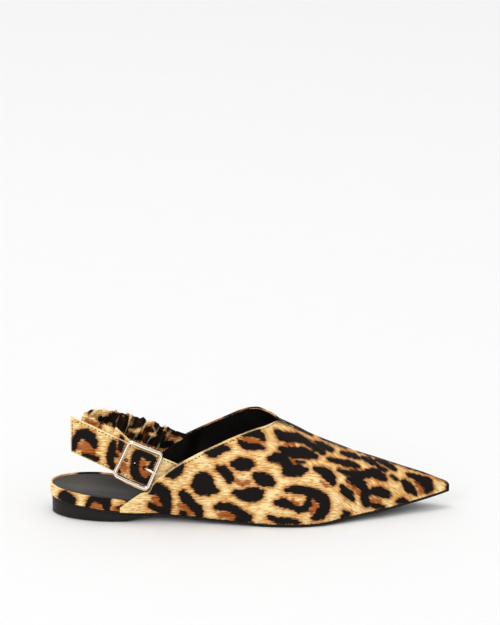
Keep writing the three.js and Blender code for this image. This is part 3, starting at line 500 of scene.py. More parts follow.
def vamp_part(side, x, foot, base, top, rise):
    """The lower part of a section that would run up to a ridge."""
    share = x / LENGTH
    ridge = rise
    fuller = THROAT_FULLNESS * (NOTCH_END - share)
    roof = foot * (FULLNESS.read("roof", NOTCH_END) + fuller)
    climb = -OUTWARD[side] * roof * FULLNESS.read("tilt", share)
    for _ in range(8):
        up = ridge * FULLNESS.read("side", NOTCH_END)
        flare = up * FULLNESS.read(side + "_flare", share)
        whole = [
            np.array([foot, base + GAP]),
            np.array([foot + flare, base + GAP + up]),
            np.array([roof, base + ridge - climb]),
            np.array([0.0, base + ridge]),
        ]
        out = [float(p[0]) for p in whole]
        low, high = 0.2, 1.0
        for _ in range(24):
            t = (low + high) / 2
            k = 1 - t
            at = k**3 * out[0] + 3 * k * k * t * out[1] + 3 * k * t * t * out[2] + t**3 * out[3]
            low, high = (t, high) if at > top else (low, t)
        first = [mix(whole[i], whole[i + 1], low) for i in range(3)]
        second = [mix(first[i], first[i + 1], low) for i in range(2)]
        points = [whole[0], first[0], second[0], mix(second[0], second[1], low)]
        ridge *= rise / (points[3][1] - base)
    return points, 1 - low


def rib(side, x, shares, inset=0.0):
    """Points of the upper at x, from the sole edge up, moved inwards by inset."""
    points, crowd = rib_curve(side, x)
    found = []
    for share in shares:
        t = crowd(share)
        p = bezier(points, t)
        along = bezier_slope(points, t)
        if share == 0:
            along = np.array([0.0, 1.0])
        if x >= NOTCH_END * LENGTH and share == 1:
            along = np.array([-1.0, 0.0])
        out, up = p[0] - inset * along[1], p[1] + inset * along[0]
        found.append((x, swing(x) + OUTWARD[side] * out, up))
    return np.array(found)


def inner_face(side, x, height):
    """Half-width of the quarter's inner face at a height."""
    points = rib(side, x, np.linspace(0, 1, INNER_STEPS), WALL)
    return float(np.interp(height, points[:, 2], OUTWARD[side] * points[:, 1]))


class Track:
    """A line in space that carries flat shapes: along it, up its width, outward."""

    def __init__(self, points, turn):
        self.turn = turn
        self.points = smooth_line(np.array(points), 1200)
        steps = np.linalg.norm(np.diff(self.points, axis=0), axis=1)
        self.at = np.concatenate([[0], np.cumsum(steps)])
        self.length = self.at[-1]
        self.zero = 0.0

    def line(self, distance):
        """Points and directions of the middle line, straight on past its ends."""
        d = np.asarray(distance, float) + self.zero
        inside = np.clip(d, 0, self.length)
        point = np.stack([np.interp(inside, self.at, self.points[:, k]) for k in range(3)], -1)
        a, b = (np.clip(inside + step, 0, self.length) for step in (-TRACK_STEP, TRACK_STEP))
        behind, ahead = (
            np.stack([np.interp(q, self.at, self.points[:, k]) for k in range(3)], -1) for q in (a, b)
        )
        along = ahead - behind
        along /= np.linalg.norm(along, axis=-1, keepdims=True)
        return point + along * (d - inside)[..., None], along

    def place(self, distance, width, depth):
        point, along = self.line(distance)
        level = np.stack([along[..., 1], -along[..., 0], np.zeros_like(along[..., 0])], -1)
        level *= self.turn / np.linalg.norm(level, axis=-1, keepdims=True)
        up = np.array([0, 0, 1.0]) - level * SLING_LEAN
        up -= along * np.sum(up * along, -1, keepdims=True)
        up /= np.linalg.norm(up, axis=-1, keepdims=True)
        out = np.cross(along, up) * self.turn
        return point + up * np.asarray(width)[..., None] + out * np.asarray(depth)[..., None]

    def distance_at(self, x):
        return float(self.at[np.nonzero(self.points[:, 0] <= x)[0][-1]])


def smooth_line(points, count):
    """A centripetal line through points, as count points."""
    p = np.vstack([2 * points[0] - points[1], points, 2 * points[-1] - points[-2]])
    found = []
    pieces = len(points) - 1
    for i in range(pieces):
        a, b, c, d = p[i : i + 4]
        k = [max(np.linalg.norm(v - u), 1e-6) ** 0.5 for u, v in ((a, b), (b, c), (c, d))]
        m1 = ((b - a) / k[0] - (c - a) / (k[0] + k[1]) + (c - b) / k[1]) * k[1]
        m2 = ((c - b) / k[1] - (d - b) / (k[1] + k[2]) + (d - c) / k[2]) * k[1]
        steps = count // pieces
        for t in np.arange(steps) / steps:
            t2, t3 = t * t, t**3
            found.append(
                (2 * t3 - 3 * t2 + 1) * b + (t3 - 2 * t2 + t) * m1 + (3 * t2 - 2 * t3) * c + (t3 - t2) * m2
            )
    return np.array([*found, points[-1]])


def free_points(side, line, root, rise):
    """Where strap or elastic runs free, behind the quarters."""
    anchor = sole_top(root.rows()[-1]["at"] * LENGTH) + rise * INSTEP_RISE
    out = -1 if side == "lateral" else 1
    return [
        (r["at"] * LENGTH, out * r["out"] * HEEL_WIDTH / 2, mix(anchor, SLING_RISE, r["climb"]))
        for r in line.rows()
    ]


def root_points(side, root, rise, width, depth):
    """Where strap or elastic lies against the quarter's inner face."""
    anchor = sole_top(root.rows()[-1]["at"] * LENGTH) + rise * INSTEP_RISE
    found = []
    for r in root.rows():
        x, z = r["at"] * LENGTH, mix(anchor, SLING_RISE, r["climb"])
        room = min(
            inner_face(side, x, z + s * width / 2) + s * width / 2 * SLING_LEAN
            for s in (-1, -0.5, 0, 0.5, 1)
        )
        found.append((x, OUTWARD[side] * (room - depth), z))
    return found


strap_line = Track(
    free_points("lateral", STRAP_LINE, STRAP_ROOT, STRAP_ROOT_RISE)
    + root_points("lateral", STRAP_ROOT, STRAP_ROOT_RISE, STRAP_WIDTH, 2 * GAP + STRAP_FACE + 0.1),
    1,
)
strap_line.zero = strap_line.distance_at(BUCKLE_AT * LENGTH)
elastic_lead = [
    strap_line.place(along, ELASTIC_RISE, depth)
    for along, depth in (
        (-TAB_LENGTH - 1.5 * GAP, TAB_FRONT - TAB_LAYER - 0.2),
        (-TAB_LENGTH - TAB_FOLD, TAB_FRONT - TAB_LAYER - 0.4),
    )
]
elastic_line = Track(
    elastic_lead
    + free_points("medial", ELASTIC_LINE, ELASTIC_ROOT, ELASTIC_ROOT_RISE)
    + root_points("medial", ELASTIC_ROOT, ELASTIC_ROOT_RISE, ELASTIC_WIDTH, GAP + ELASTIC_FLAT / 2 + 0.3),
    -1,
)


# Print, charted on a plane square to the shoe's outer side. Each stroke is a row of
# (along, up, radius) in millimetres: the black of a rosette, or its rust heart.

UPPER_BLACK = [
    # wing and quarter
    [(67.5, 13, 3.0), (71, 14, 4.0), (75.5, 10, 4.0), (77, 3, 3.0), (76.5, -2.5, 2.6)],
    [(66.5, 2.4, 1.9), (69.5, 0.4, 1.7), (74, -2, 2.2)],
    [(78, 23.5, 1.8), (81, 23.8, 2.8), (84.5, 26.5, 2.8), (86.8, 30.5, 1.8)],
    [(87.5, 10, 2.6), (90, 7, 3.5), (94, 2.5, 2.4), (97.5, -0.5, 3.1), (98.5, -4.5, 2.6)],
    [(86.5, -2.2, 1.2), (88.5, -3.8, 1.7)],
    [(94.5, 16, 1.4), (98.5, 20.5, 3.6), (101.5, 19, 6.2), (100, 14.5, 5.0),
     (105.5, 14, 4.2), (109.8, 12.4, 1.5)],
    [(104.5, 39.5, 2.2), (108, 38.3, 2.8), (112.5, 41.5, 2.6), (115.5, 42.6, 2.0), (118.2, 41.4, 0.8)],
    [(111, 28.2, 1.6), (114.5, 27, 2.5), (117, 24, 3.0), (119, 21.5, 2.6), (118.3, 19.6, 1.7)],
    [(121.3, 31, 2.0), (126, 31, 4.5), (130.3, 31, 4.0), (134, 30.5, 1.2)],
    [(109.5, 1, 1.4), (113, 1.3, 2.6), (117.5, 1.4, 2.5), (122, -1, 2.6),
     (127, -4, 2.8), (131.5, -6.5, 2.4)],
    [(124, -7.5, 1.8), (129, -8.5, 2.0)],
    [(122.3, 11.2, 1.7), (127, 9.8, 3.2), (132, 9.6, 5.0), (136, 9.8, 4.8), (139.5, 11.5, 2.0)],
    [(136, 22.8, 2.1), (140, 22.6, 2.6), (144, 20.5, 3.2), (146.8, 17.8, 2.2),
     (141, 17.6, 2.1), (138, 19.8, 2.0)],
    # round the throat
    [(126, 46.5, 1.5), (129, 44, 2.4), (133, 43.4, 2.3), (137, 43.4, 1.9), (141.5, 42.2, 0.9)],
    [(129, 52.5, 2.0), (133, 53, 2.4), (137, 52.6, 2.6), (139.5, 50.6, 2.4), (141.5, 48.2, 1.0)],
    [(150, 53.6, 1.5), (153, 50.8, 3.0), (158, 49.9, 3.3), (163, 50, 2.8),
     (168, 47.6, 2.3), (173, 44.6, 1.7)],
    [(173, 44.6, 1.7), (177, 41.8, 1.7), (181, 38.6, 1.2)],
    # vamp
    [(152.5, 42, 1.3), (157, 40, 2.9), (162, 39, 3.9), (167, 38.8, 3.7),
     (172, 37.8, 3.0), (176, 36.2, 1.4)],
    [(145.8, 35, 1.9), (149.5, 35.3, 3.2), (153.5, 35, 3.7), (156, 32, 3.1), (158, 28, 4.0)],
    [(155.5, 25, 1.8), (160, 26.6, 4.2), (164.5, 26.6, 3.8), (169.6, 27.2, 1.3)],
    [(163, 33.3, 0.5), (168, 32, 0.6)],
    [(175.5, 46.7, 0.8), (179, 45, 1.7), (183, 42.6, 2.0), (186.5, 40.8, 1.2)],
    [(175.5, 28, 1.2), (180, 26.5, 2.5), (183.5, 24, 3.7), (186, 21, 3.1), (187.6, 17.8, 1.6)],
    [(193.5, 39, 1.0), (198, 37.8, 1.9), (202, 36.5, 1.5), (205, 35.2, 0.7)],
    [(184.5, 35, 0.9), (189, 33.2, 1.5), (193, 32.4, 1.5), (197.5, 31.5, 2.4),
     (201.5, 30.1, 1.6), (204, 29.4, 0.8)],
    [(191.5, 26.9, 0.9), (197, 24.9, 1.7), (202, 24, 2.4), (207, 23.6, 2.4),
     (211, 24.6, 3.1), (215, 25, 3.0)],
    [(215, 25, 3.0), (219, 22.6, 2.5), (222, 20.3, 1.2)],
    [(198, 20.6, 1.3), (202.5, 18.8, 2.6), (206.5, 16.6, 3.0), (209, 12.5, 2.5),
     (208.5, 7.5, 2.7), (210, 3, 2.3)],
    [(202, 21.8, 1.8), (206, 20.4, 1.5)],
    [(207, 35.8, 1.0), (211, 33.8, 1.7), (215, 31.5, 1.3), (219, 28.6, 1.1), (222.5, 26.2, 0.9)],
    [(216, 33.9, 0.8), (221, 32, 1.5), (225.5, 29.5, 1.7), (228.6, 27.2, 0.9)],
    [(217, 29.6, 0.8), (221.5, 27, 1.1)],
    [(226, 23, 0.7), (230, 20.3, 0.9)],
    [(193.4, 15.2, 1.5), (195.5, 12, 2.6), (198, 9.6, 2.9), (200.2, 6.8, 1.6)],
    [(195, -2.2, 1.0), (197.5, -3.9, 1.6), (194, -5.4, 1.3)],
    # big ring of the forepart
    [(156.8, 13, 1.5), (161, 13.3, 2.4), (166, 13, 2.7), (171, 12, 3.0),
     (175.5, 10, 3.5), (180, 7.5, 3.7)],
    [(180, 7.5, 3.7), (182.4, 3.5, 3.2), (181.5, -0.5, 3.3), (179, -4, 3.3), (175.3, -6.4, 2.1)],
    [(150, 4, 1.6), (154, 4.2, 3.5), (158, 2.5, 2.4), (162, 0.7, 1.5), (165, -1, 1.9), (169, 0.5, 2.3)],
    [(169, 0.5, 2.3), (171, 3, 1.9), (171.3, 6.5, 1.6), (172, 9.5, 1.9)],
    [(145, -6, 1.2), (149, -7.6, 1.9), (155, -8.6, 1.9), (161, -9, 1.7), (164.3, -9.6, 1.0)],
    # toe
    [(213.5, 12, 2.2), (218, 12, 3.5), (222, 10.5, 2.9), (224.6, 8.7, 1.1)],
    [(213, 2.5, 1.3), (217, 1.6, 1.7), (220.8, 1, 0.9)],
    [(234.4, 19.2, 1.5), (236.5, 16.5, 2.5), (239, 13.5, 2.9), (241.5, 11, 1.7)],
    [(237, 24, 1.0), (241, 22.6, 1.7), (245, 20.6, 2.5), (249, 18.5, 3.7),
     (251, 14.5, 3.1), (250, 12, 1.7)],
    [(230.5, 4.8, 1.1), (233.5, 6, 1.9), (236, 4.8, 1.1)],
    [(262.8, 20, 0.6), (264.2, 17, 1.1), (264.2, 13, 1.1)],
    # over the ridge
    [(150, 62.4, 1.4), (156, 60.6, 1.1), (162, 57.4, 0.9), (168, 54.2, 0.8), (173, 51.8, 0.6)],
    [(179, 50.3, 0.8), (184, 48.2, 1.2), (190, 45.8, 1.2), (196, 43, 0.9)],
    [(205, 40.2, 0.6), (212, 38, 0.9), (219, 35.6, 0.8)],
    [(222, 34.6, 0.4), (230, 31.8, 0.5), (238, 28.7, 0.5), (246, 25.9, 0.3),
     (254, 23.2, 0.3), (260, 20.6, 0.4)],
    # far topline
    [(90, 52, 1.4), (100, 57.2, 1.4)],
    [(116, 65, 1.4), (124, 68.3, 1.4)],
    [(133, 70.6, 1.4), (141, 71.6, 1.4)],
]
UPPER_RUST = [
    [(91, 52.5, 1.0), (100, 57.2, 1.2), (116, 65, 1.2), (124, 68.3, 1.2), (134, 70.8, 1.0)],
    [(69, 7, 1.7), (71.5, 4.2, 2.3), (73.2, 1.3, 1.7)],
    [(85.5, 2.3, 1.0), (89, 1.5, 1.7), (92, -1.5, 1.9), (90.5, -3.8, 1.2)],
    [(112.5, -4.6, 1.2), (117, -4.8, 1.9), (121, -6.2, 1.5)],
    [(123, 19.5, 1.2), (127, 17.5, 1.4), (131, 18.5, 0.9)],
    [(128, 48.7, 0.9), (133, 47.6, 1.2), (138, 46, 1.0)],
    [(156.5, 44.9, 1.1), (161, 45.4, 0.9)],
    [(159, 33.3, 0.9), (163, 32.1, 0.7)],
    [(174, 3, 2.2), (175.3, 0.5, 2.0), (173, -2.2, 1.2)],
    [(161, 4.4, 1.1), (163.6, 2.8, 1.2)],
    [(179.5, 18.6, 0.5), (183, 15.6, 0.5)],
    [(200, 26.8, 0.7), (205, 27.8, 0.8)],
    [(198, 17, 0.6), (203, 13, 0.8), (206, 9.6, 0.7)],
    [(213.5, 5.5, 0.8), (218, 5.1, 0.8)],
    [(243, 18, 0.7), (245.4, 14.6, 1.0), (246, 11.2, 0.8)],
    [(150.5, 62.3, 0.9)],
]
STRAP_BLACK = [
    [(15.4, 42, 1.4), (15.8, 46.5, 1.9), (19, 51.4, 2.9), (22.5, 52.4, 3.3),
     (26, 50, 3.5), (28.5, 46.5, 2.4)],
    [(28.5, 46.5, 2.4), (29, 43.6, 1.6)],
    [(22, 37.4, 0.9), (27.5, 36, 1.6), (30.5, 34.8, 1.4)],
    [(41.5, 45.6, 1.9), (40.6, 41, 2.5), (39.6, 36, 2.5), (39.6, 32, 1.9), (41.5, 28.5, 1.4)],
    [(46.8, 49.5, 1.4), (46.8, 45.5, 1.7), (46, 41, 1.2)],
    [(57, 38, 2.5), (61, 39, 2.4), (65.5, 36, 2.5), (68.5, 33.6, 1.5)],
    [(57, 38, 2.5), (55.6, 30, 2.7), (55.6, 25, 2.7), (58, 21, 2.5), (62.5, 18.8, 1.8), (65, 21, 1.2)],
    [(66.3, 29.4, 1.6), (67.5, 32, 1.4)],
    [(45.4, 26, 1.0)],
    [(81, 24.5, 2.3), (85.5, 28.5, 2.0)],
]
STRAP_RUST = [
    [(20, 43, 1.9), (24, 43.5, 2.6), (23.5, 40, 2.6), (27.2, 39.6, 1.8)],
    [(44, 41.5, 0.9), (43.5, 36, 0.9)],
    [(60.5, 31.5, 1.9), (61, 28, 2.6), (62.5, 25, 2.6), (65.5, 24.4, 1.6)],
    [(48, 31, 1.2), (49, 27.5, 1.2)],
]
BAND_BLACK = [
    [(8.5, 9, 3.2), (11, 7, 4.0), (13.4, 6, 2.9), (13.6, 2.6, 2.0)],
    [(28, 7.2, 2.0), (25.2, 4.2, 1.5), (24.5, 1.3, 1.3)],
    [(28, 7.2, 2.0), (32, 6.9, 2.4), (36.3, 6, 3.3), (37, 2, 2.7), (37.5, -1, 1.7)],
    [(45, 0.5, 1.1), (48, 1, 0.9)],
    [(52.5, 5.5, 2.2), (56, 5, 2.2)],
]
BAND_RUST = [
    [(28, 2.2, 1.5), (31.5, 2.2, 1.7), (33, 0.8, 1.1)],
    [(42.6, -0.4, 1.1)],
]
ELASTIC_BLACK = [
    [(86.3, 53.4, 1.2), (90, 51, 1.6), (91, 47, 1.5)],
    [(26.5, 68, 0.9)],
    [(34, 62, 1.8), (37.4, 62.5, 1.2)],
    [(42, 63.5, 2.7), (46, 61.5, 4.2), (50, 61, 3.4), (49, 56.5, 2.5), (44.5, 58.5, 2.3)],
    [(55, 57.5, 1.8), (56.5, 61.5, 3.5), (59.5, 60.8, 3.7), (61.2, 62, 2.1)],
    [(71.5, 58, 1.8), (73, 56, 2.6), (73.5, 53, 2.0)],
    [(64.5, 55, 1.1), (66.5, 54, 0.9)],
    [(79, 56, 1.7), (81.5, 55, 1.7), (83.2, 53, 1.2)],
    [(65, 48, 1.9), (70, 47.5, 2.9), (75, 46.5, 3.2), (79, 45, 1.8)],
    [(54, 50.8, 0.9), (59, 50, 1.1)],
]
ELASTIC_RUST = [
    [(80, 51.6, 1.1), (84, 51, 1.1), (87, 52.4, 0.7)],
    [(62, 53, 0.8), (62, 49, 0.9)],
    [(24, 61.5, 1.0), (28, 59.5, 0.9), (33, 57, 0.8)],
]

# Ridges of the gathers, as seen; they stand out and carry a painted highlight
ELASTIC_RIDGES = [
    [(51.2, 58, 0.7), (52, 62, 0.9), (54.2, 67.5, 0.9)],
    [(52, 55.4, 0.8), (56, 54.4, 1.1), (60.5, 55.4, 0.8)],
    [(61.5, 57, 0.8), (64, 60, 1.2), (66.6, 62.6, 0.9)],
    [(66, 52.8, 0.8), (69.4, 50.8, 0.9)],
    [(75.2, 55, 0.8), (76.2, 58, 0.9), (76, 60.4, 0.7)],
    [(78, 47.4, 0.9), (80.5, 49.8, 0.8)],
    [(27, 66, 0.9), (30.5, 69, 0.9)],
    [(35, 65.5, 0.9), (37, 69.6, 0.8)],
]

# Black, rust, and how far the print is moved where it is out of sight
UPPER_CHART = (UPPER_BLACK, UPPER_RUST, (9.0, -3.0))
STRAP_CHART = (STRAP_BLACK, STRAP_RUST, (6.0, -17.0))
BAND_CHART = (BAND_BLACK, BAND_RUST, (9.0, -3.0))
ELASTIC_CHART = (ELASTIC_BLACK, ELASTIC_RUST, (4.0, 16.0))

VIEW_SLOPE = 0.325  # rise on the chart for each millimetre away from the eye
EYE_DISTANCE = 2500.0
EYE_ABOVE = math.radians(18)
EYE_LEVEL = 33.0  # height on the shoe that the eye looks at


def nearest(strokes, along, up):
    """Distance to the edge of the nearest stroke, negative inside it."""
    best = np.full(along.shape, FAR)
    for stroke in strokes:
        ends = list(zip(stroke, stroke[1:])) or [(stroke[0], stroke[0])]
        for (a0, b0, r0), (a1, b1, r1) in ends:
            da, db = a1 - a0, b1 - b0
            t = np.clip(((along - a0) * da + (up - b0) * db) / max(da * da + db * db, 1e-9), 0, 1)
            gap = np.hypot(along - a0 - t * da, up - b0 - t * db) - (r0 + t * (r1 - r0))
            np.minimum(best, gap, out=best)
    return best


def chart_place(points, side):
    """Along and up on the chart, seen from the outer side (-1) or the inner side (1)."""
    x, y, z = points[..., 0], points[..., 1] * -side, points[..., 2]
    nearer = (math.cos(EYE_ABOVE) * y - math.sin(EYE_ABOVE) * (z - EYE_LEVEL)) / EYE_DISTANCE
    along = SHOE_ORIGIN[0] + (x - SHOE_ORIGIN[0]) / (1 + nearer)
    up = EYE_LEVEL + (z + VIEW_SLOPE * y - EYE_LEVEL) / (1 + nearer)
    return along, up


def hair_lean(along, up):
    """How far the hair lies slantwise, over the vamp, and not level."""
    slope = ease(up - (46 - 0.42 * (along - 140)), -9, 3) * ease(along, 134, 146)
    front = ease(along, 184, 196) * (1 - ease(along, 214, 232))
    return np.clip(slope + front, 0, 1)


def print_marks(chart, points, outward):
    """Marks of the print on a grid: the chart as seen, and shifted where the grid faces away."""
    blacks, rusts, shift = chart
    points = np.asarray(points, float)
    far = facing_away(points, outward)
    near_at = chart_place(points, -1)
    a, b = chart_place(points, 1)
    far_at = (a + shift[0], b + shift[1])
    black = mix(nearest(blacks, *near_at), nearest(blacks, *far_at), far)
    rust = mix(nearest(rusts, *near_at), nearest(rusts, *far_at), far)
    along, up = (mix(n, f, far) for n, f in zip(near_at, far_at))
    return {"black": black, "rust": rust, "nap": np.stack([along, up, hair_lean(along, up)], -1)}


def facing_away(points, outward):
    """0 where a grid faces the outer side of the shoe and 1 where it faces the inner side."""
    normal = np.cross(np.gradient(points, axis=0), np.gradient(points, axis=1))
    normal /= np.maximum(np.linalg.norm(normal, axis=-1, keepdims=True), 1e-9)
    normal *= np.where(np.sum(normal * outward, -1, keepdims=True) < 0, -1, 1)
    eye = np.array([0, -math.cos(EYE_ABOVE), math.sin(EYE_ABOVE)])
    return 1 - ease(normal @ eye, -0.15, 0.12)


# Meshes


class Shell:
    """Grids of points, gathered into one mesh with its finishes and its marks."""

    def __init__(self):
        self.points = []
        self.faces = []
        self.finish = []
        self.marks = []
        self.count = 0

    def grid(self, points, finish=0, around=False, ends=False, keep=None, **marks):
        points = np.asarray(points, float)
        rows, columns = points.shape[:2]
        ids = self.count + np.arange(rows * columns).reshape(rows, columns)
        self.count += rows * columns
        self.points.append(points.reshape(-1, 3))
        self.marks.append((rows * columns, marks))
        ring = np.hstack([ids, ids[:, :1]]) if around else ids
        quads = np.stack([ring[:-1, :-1], ring[1:, :-1], ring[1:, 1:], ring[:-1, 1:]], -1)
        found = quads.reshape(-1, 4).tolist() if keep is None else quads[keep].tolist()
        if ends:
            found += [ids[0].tolist(), ids[-1].tolist()]
        self.faces += found
        self.finish += [finish] * len(found)
        return ids

    def piece(self, name, finishes, replaces=(), sharp=None, slot=None):
        points = (np.vstack(self.points) - SHOE_ORIGIN) / 1000
        mesh = bpy.data.meshes.new(name)
        mesh.from_pydata(points.tolist(), [], self.faces)
        mesh.polygons.foreach_set("material_index", self.finish)
        for key in sorted({key for _, marks in self.marks for key in marks}):
            write_mark(mesh, key, np.concatenate([mark_values(n, m, key) for n, m in self.marks]))
        tidy_mesh(mesh, sharp)
        return dress(name, mesh, finishes, replaces)


def mark_values(count, marks, key):
    """One mark of a grid, with zeros where the grid has none."""
    if key not in marks:
        return np.zeros((count, 3) if key == "nap" else count)
    values = np.asarray(marks[key], float)
    return values.reshape(count, 3) if key == "nap" else values.reshape(count)


def write_mark(mesh, key, values):
    """Stores a mark on the mesh's points, for the materials to read."""
    if values.ndim == 2:
        mesh.attributes.new(key, "FLOAT_VECTOR", "POINT").data.foreach_set("vector", values.ravel())
    else:
        mesh.attributes.new(key, "FLOAT", "POINT").data.foreach_set("value", values)


def tidy_mesh(mesh, sharp):
    """Welds the grids' shared points and turns all faces outward."""
    work = bmesh.new()
    work.from_mesh(mesh)
    bmesh.ops.remove_doubles(work, verts=work.verts, dist=2e-6)
    bmesh.ops.recalc_face_normals(work, faces=work.faces)
    work.to_mesh(mesh)
    work.free()
    mesh.shade_smooth()
    if sharp:
        mesh.set_sharp_from_angle(angle=math.radians(sharp))


def dress(name, mesh, finishes, replaces):
    """Puts a mesh in the scene, on the shoe's body, in place of its solids."""
    piece = bpy.data.objects.new(name, mesh)
    bpy.context.scene.collection.objects.link(piece)
    for finish in finishes:
        mesh.materials.append(finish)
    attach(piece, "root")
    if replaces:
        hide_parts(*replaces)
    return piece


def distances(points):
    """Length along each row of points."""
    steps = np.linalg.norm(np.diff(points, axis=-2), axis=-1)
    start = np.zeros_like(steps[..., :1])
    return np.concatenate([start, np.cumsum(steps, -1)], -1)


# Upper


def upper_piece(print_cloth, lining):
    """The upper: printed outside, black lining, rolled topline; also gives its quarters."""
    open_part = np.linspace(WING_START * LENGTH, NOTCH_END * LENGTH, QUARTER_STEPS)
    vamp = np.linspace(NOTCH_END * LENGTH, LENGTH, VAMP_STEPS)[1:]
    hollow = np.concatenate([open_part, vamp[vamp < HOLLOW_END * LENGTH]])
    shares = np.linspace(0, 1, OUTER_STEPS)
    few = np.linspace(0, 1, INNER_STEPS)
    shell = Shell()
    edges = {}
    arch = {}
    for side in OUTWARD:
        outer = np.array([rib(side, x, shares) for x in [*open_part, *vamp]])
        inner = np.array([rib(side, x, few, WALL) for x in hollow])
        below = distances(outer[:, ::-1])[:, ::-1]
        reach = np.where(np.arange(len(outer)) < len(open_part), 0.0, FAR)[:, None]
        outward = np.array([0, OUTWARD[side], 0.3])
        rear = np.maximum(outer[..., 0] - outer[0, 0, 0], 0)
        shell.grid(outer, edge=np.minimum(below + reach, rear), **print_marks(UPPER_CHART, outer, outward))
        shell.grid(inner, 1)
        shell.grid(lining_cover(side), 1)
        roll = topline_roll(outer[: len(open_part)], inner[: len(open_part)])
        fold = np.full(roll.shape[:2], EDGE_HIGHLIGHT[side])
        # The roll carries the painted highlight of the folded edge.
        shell.grid(roll, 0, edge=fold, **print_marks(UPPER_CHART, roll, np.array([0, 0, 1.0])))
        shell.grid(np.stack([outer[: len(inner), 0], inner[:, 0]], 1), 1)
        back = np.array([np.interp(few, shares, outer[0][:, k]) for k in range(3)]).T
        shell.grid(np.stack([back, inner[0]], 1), 1)
        edges[side] = outer[: len(open_part)]
        arch[side] = inner[-1]
    cap = np.vstack([arch["lateral"], arch["medial"][::-1]])
    middle = np.repeat(cap.mean(0, keepdims=True), len(cap), 0)
    shell.grid(np.stack([cap, middle]), 1)
    return shell.piece("upper_cloth", [print_cloth, lining], ["upper"], slot="print_cloth"), edges


def lining_cover(side):
    """The lining where it lies over the root of the strap or the elastic."""
    lateral = side == "lateral"
    track, width = (strap_line, STRAP_WIDTH) if lateral else (elastic_line, ELASTIC_WIDTH)
    half = STRAP_FACE if lateral else ELASTIC_FLAT / 2
    stations = np.linspace(COVER_START, COVER_END, 80)
    face = np.array([rib(side, x, np.linspace(0.12, 1, 50), WALL) for x in stations])
    last = track.length - track.zero
    s, w = np.meshgrid(np.linspace(last - ROOT_RUN, last, 26), np.linspace(-0.5, 0.5, 11) * width)
    root = track.place(s, w, 0.0 * s).reshape(-1, 3)
    inward = root - track.place(s, w, 0.0 * s + 1).reshape(-1, 3)
    nearest_root = np.linalg.norm(face[:, :, None] - root, axis=-1).argmin(-1)
    offset = face - root[nearest_root]
    inward = inward[nearest_root]
    height = np.sum(offset * inward, -1)
    aside = np.linalg.norm(offset - inward * height[..., None], axis=-1)
    cover = 1 - ease(aside, *COVER_FADES)
    lift = np.maximum(half + COVER_GAP - height, COVER_LEAST) * cover + COVER_LEAST
    return face + inward * lift[..., None]


def topline_roll(outer, inner):
    """The folded edge: a half round from the outer face over to the lining."""
    a, b = outer[:, -1], inner[:, -1]
    up = outer[:, -1] - outer[:, -2]
    up /= np.linalg.norm(up, axis=-1, keepdims=True)
    room = np.abs(a[:, 1] - np.array([swing(x) for x in a[:, 0]]))
    bulge = np.minimum(WALL / 2, room * 0.9)[:, None]
    middle, reach = (a + b) / 2, (a - b) / 2
    turns = np.linspace(0, math.pi, 9)
    return np.stack([middle + reach * math.cos(t) + up * bulge * math.sin(t) for t in turns], 1)


# Sole


def slab_row(x, inset, bottom, top, corner, across=12, dish=None):
    """A closed section of a slab at x, with round corners of the given depth and reach."""
    lateral = swing(x) - half_width("lateral", x, inset)
    medial = swing(x) + half_width("medial", x, inset)
    middle, half = (lateral + medial) / 2, (medial - lateral) / 2
    low, high = corner
    turns = np.linspace(0, math.pi / 2, 5)
    found = []
    low_cut = min(low, half * 0.5)
    high_cut = min(high, half * 0.5)
    for t in turns:
        found.append((x, -half + low_cut * (1 - math.sin(t)), bottom + low * (1 - math.cos(t))))
    for t in turns:
        found.append((x, -half + high_cut * (1 - math.cos(t)), top - high * (1 - math.sin(t))))
    flat = [
        (x, s * (half - high_cut), top - (dish(abs(s)) if dish else 0))
        for s in np.linspace(-1, 1, across)[1:-1]
    ]
    row = found + flat + [(x, -y, z) for x, y, z in reversed(found)]
    return [(x, y + middle, z) for x, y, z in row]


def round_stations(start, count):
    """Stations round the heel, closer together at the back."""
    t = np.linspace(0, 1, count)
    return start + (HEEL_MIDDLE * LENGTH - start) * (1 - np.cos(t * math.pi / 2))


def outsole_piece(finish):
    stations = [*round_stations(0.7, 30), *np.linspace(HEEL_MIDDLE * LENGTH, LENGTH, 150)[1:]]
    shell = Shell()
    rows = [slab_row(x, SOLE_INSET, underside(x), sole_top(x), SOLE_EDGE) for x in stations]
    shell.grid(rows, around=True, ends=True)
    return shell.piece("sole", [finish], ["outsole"], sharp=50, slot="sole_black")


def heel_bottom(x):
    """Height of the heel's underside: flat, then up to its front tip."""
    t = min(max((x / LENGTH - HEEL_FLAT_END) / (HEEL_TIP - HEEL_FLAT_END), 0.0), 1.0)
    tip = underside(HEEL_TIP * LENGTH) - GAP - HEEL_TIP_THICKNESS
    return tip * mix(t, float(ease(t, 0, 1)), 0.5)


def heel_piece(finish):
    stations = [
        *round_stations(0.9, 30),
        *np.linspace(HEEL_MIDDLE * LENGTH, HEEL_TIP * LENGTH, 40)[1:],
    ]
    shell = Shell()
    rows = []
    for x in stations:
        bottom, top = heel_bottom(x), underside(x) - HEEL_TO_SOLE
        low = min(HEEL_EDGE, (top - bottom) * 0.4)
        rows.append(slab_row(x, HEEL_INSET, bottom, top, (low, min(HEEL_TOP_EDGE, low * 0.5))))
    shell.grid(rows, around=True, ends=True)
    return shell.piece("heel_block", [finish], ["heel"], sharp=50, slot="heel_black")


def band_section():
    """Heel band across: (inwards, up) as shares, a rolled edge over a full outer face."""
    face = [(0.36, 0.0), (0.12, 0.02), (0.02, 0.1), (0.0, 0.22), (0.0, 0.45), (0.02, 0.62)]
    roll = [(0.06, 0.75), (0.14, 0.86), (0.27, 0.95), (0.45, 1.0), (0.63, 0.99), (0.8, 0.93)]
    back = [(0.93, 0.83), (1.0, 0.7), (1.0, 0.35), (1.0, 0.0)]
    return face + roll + back


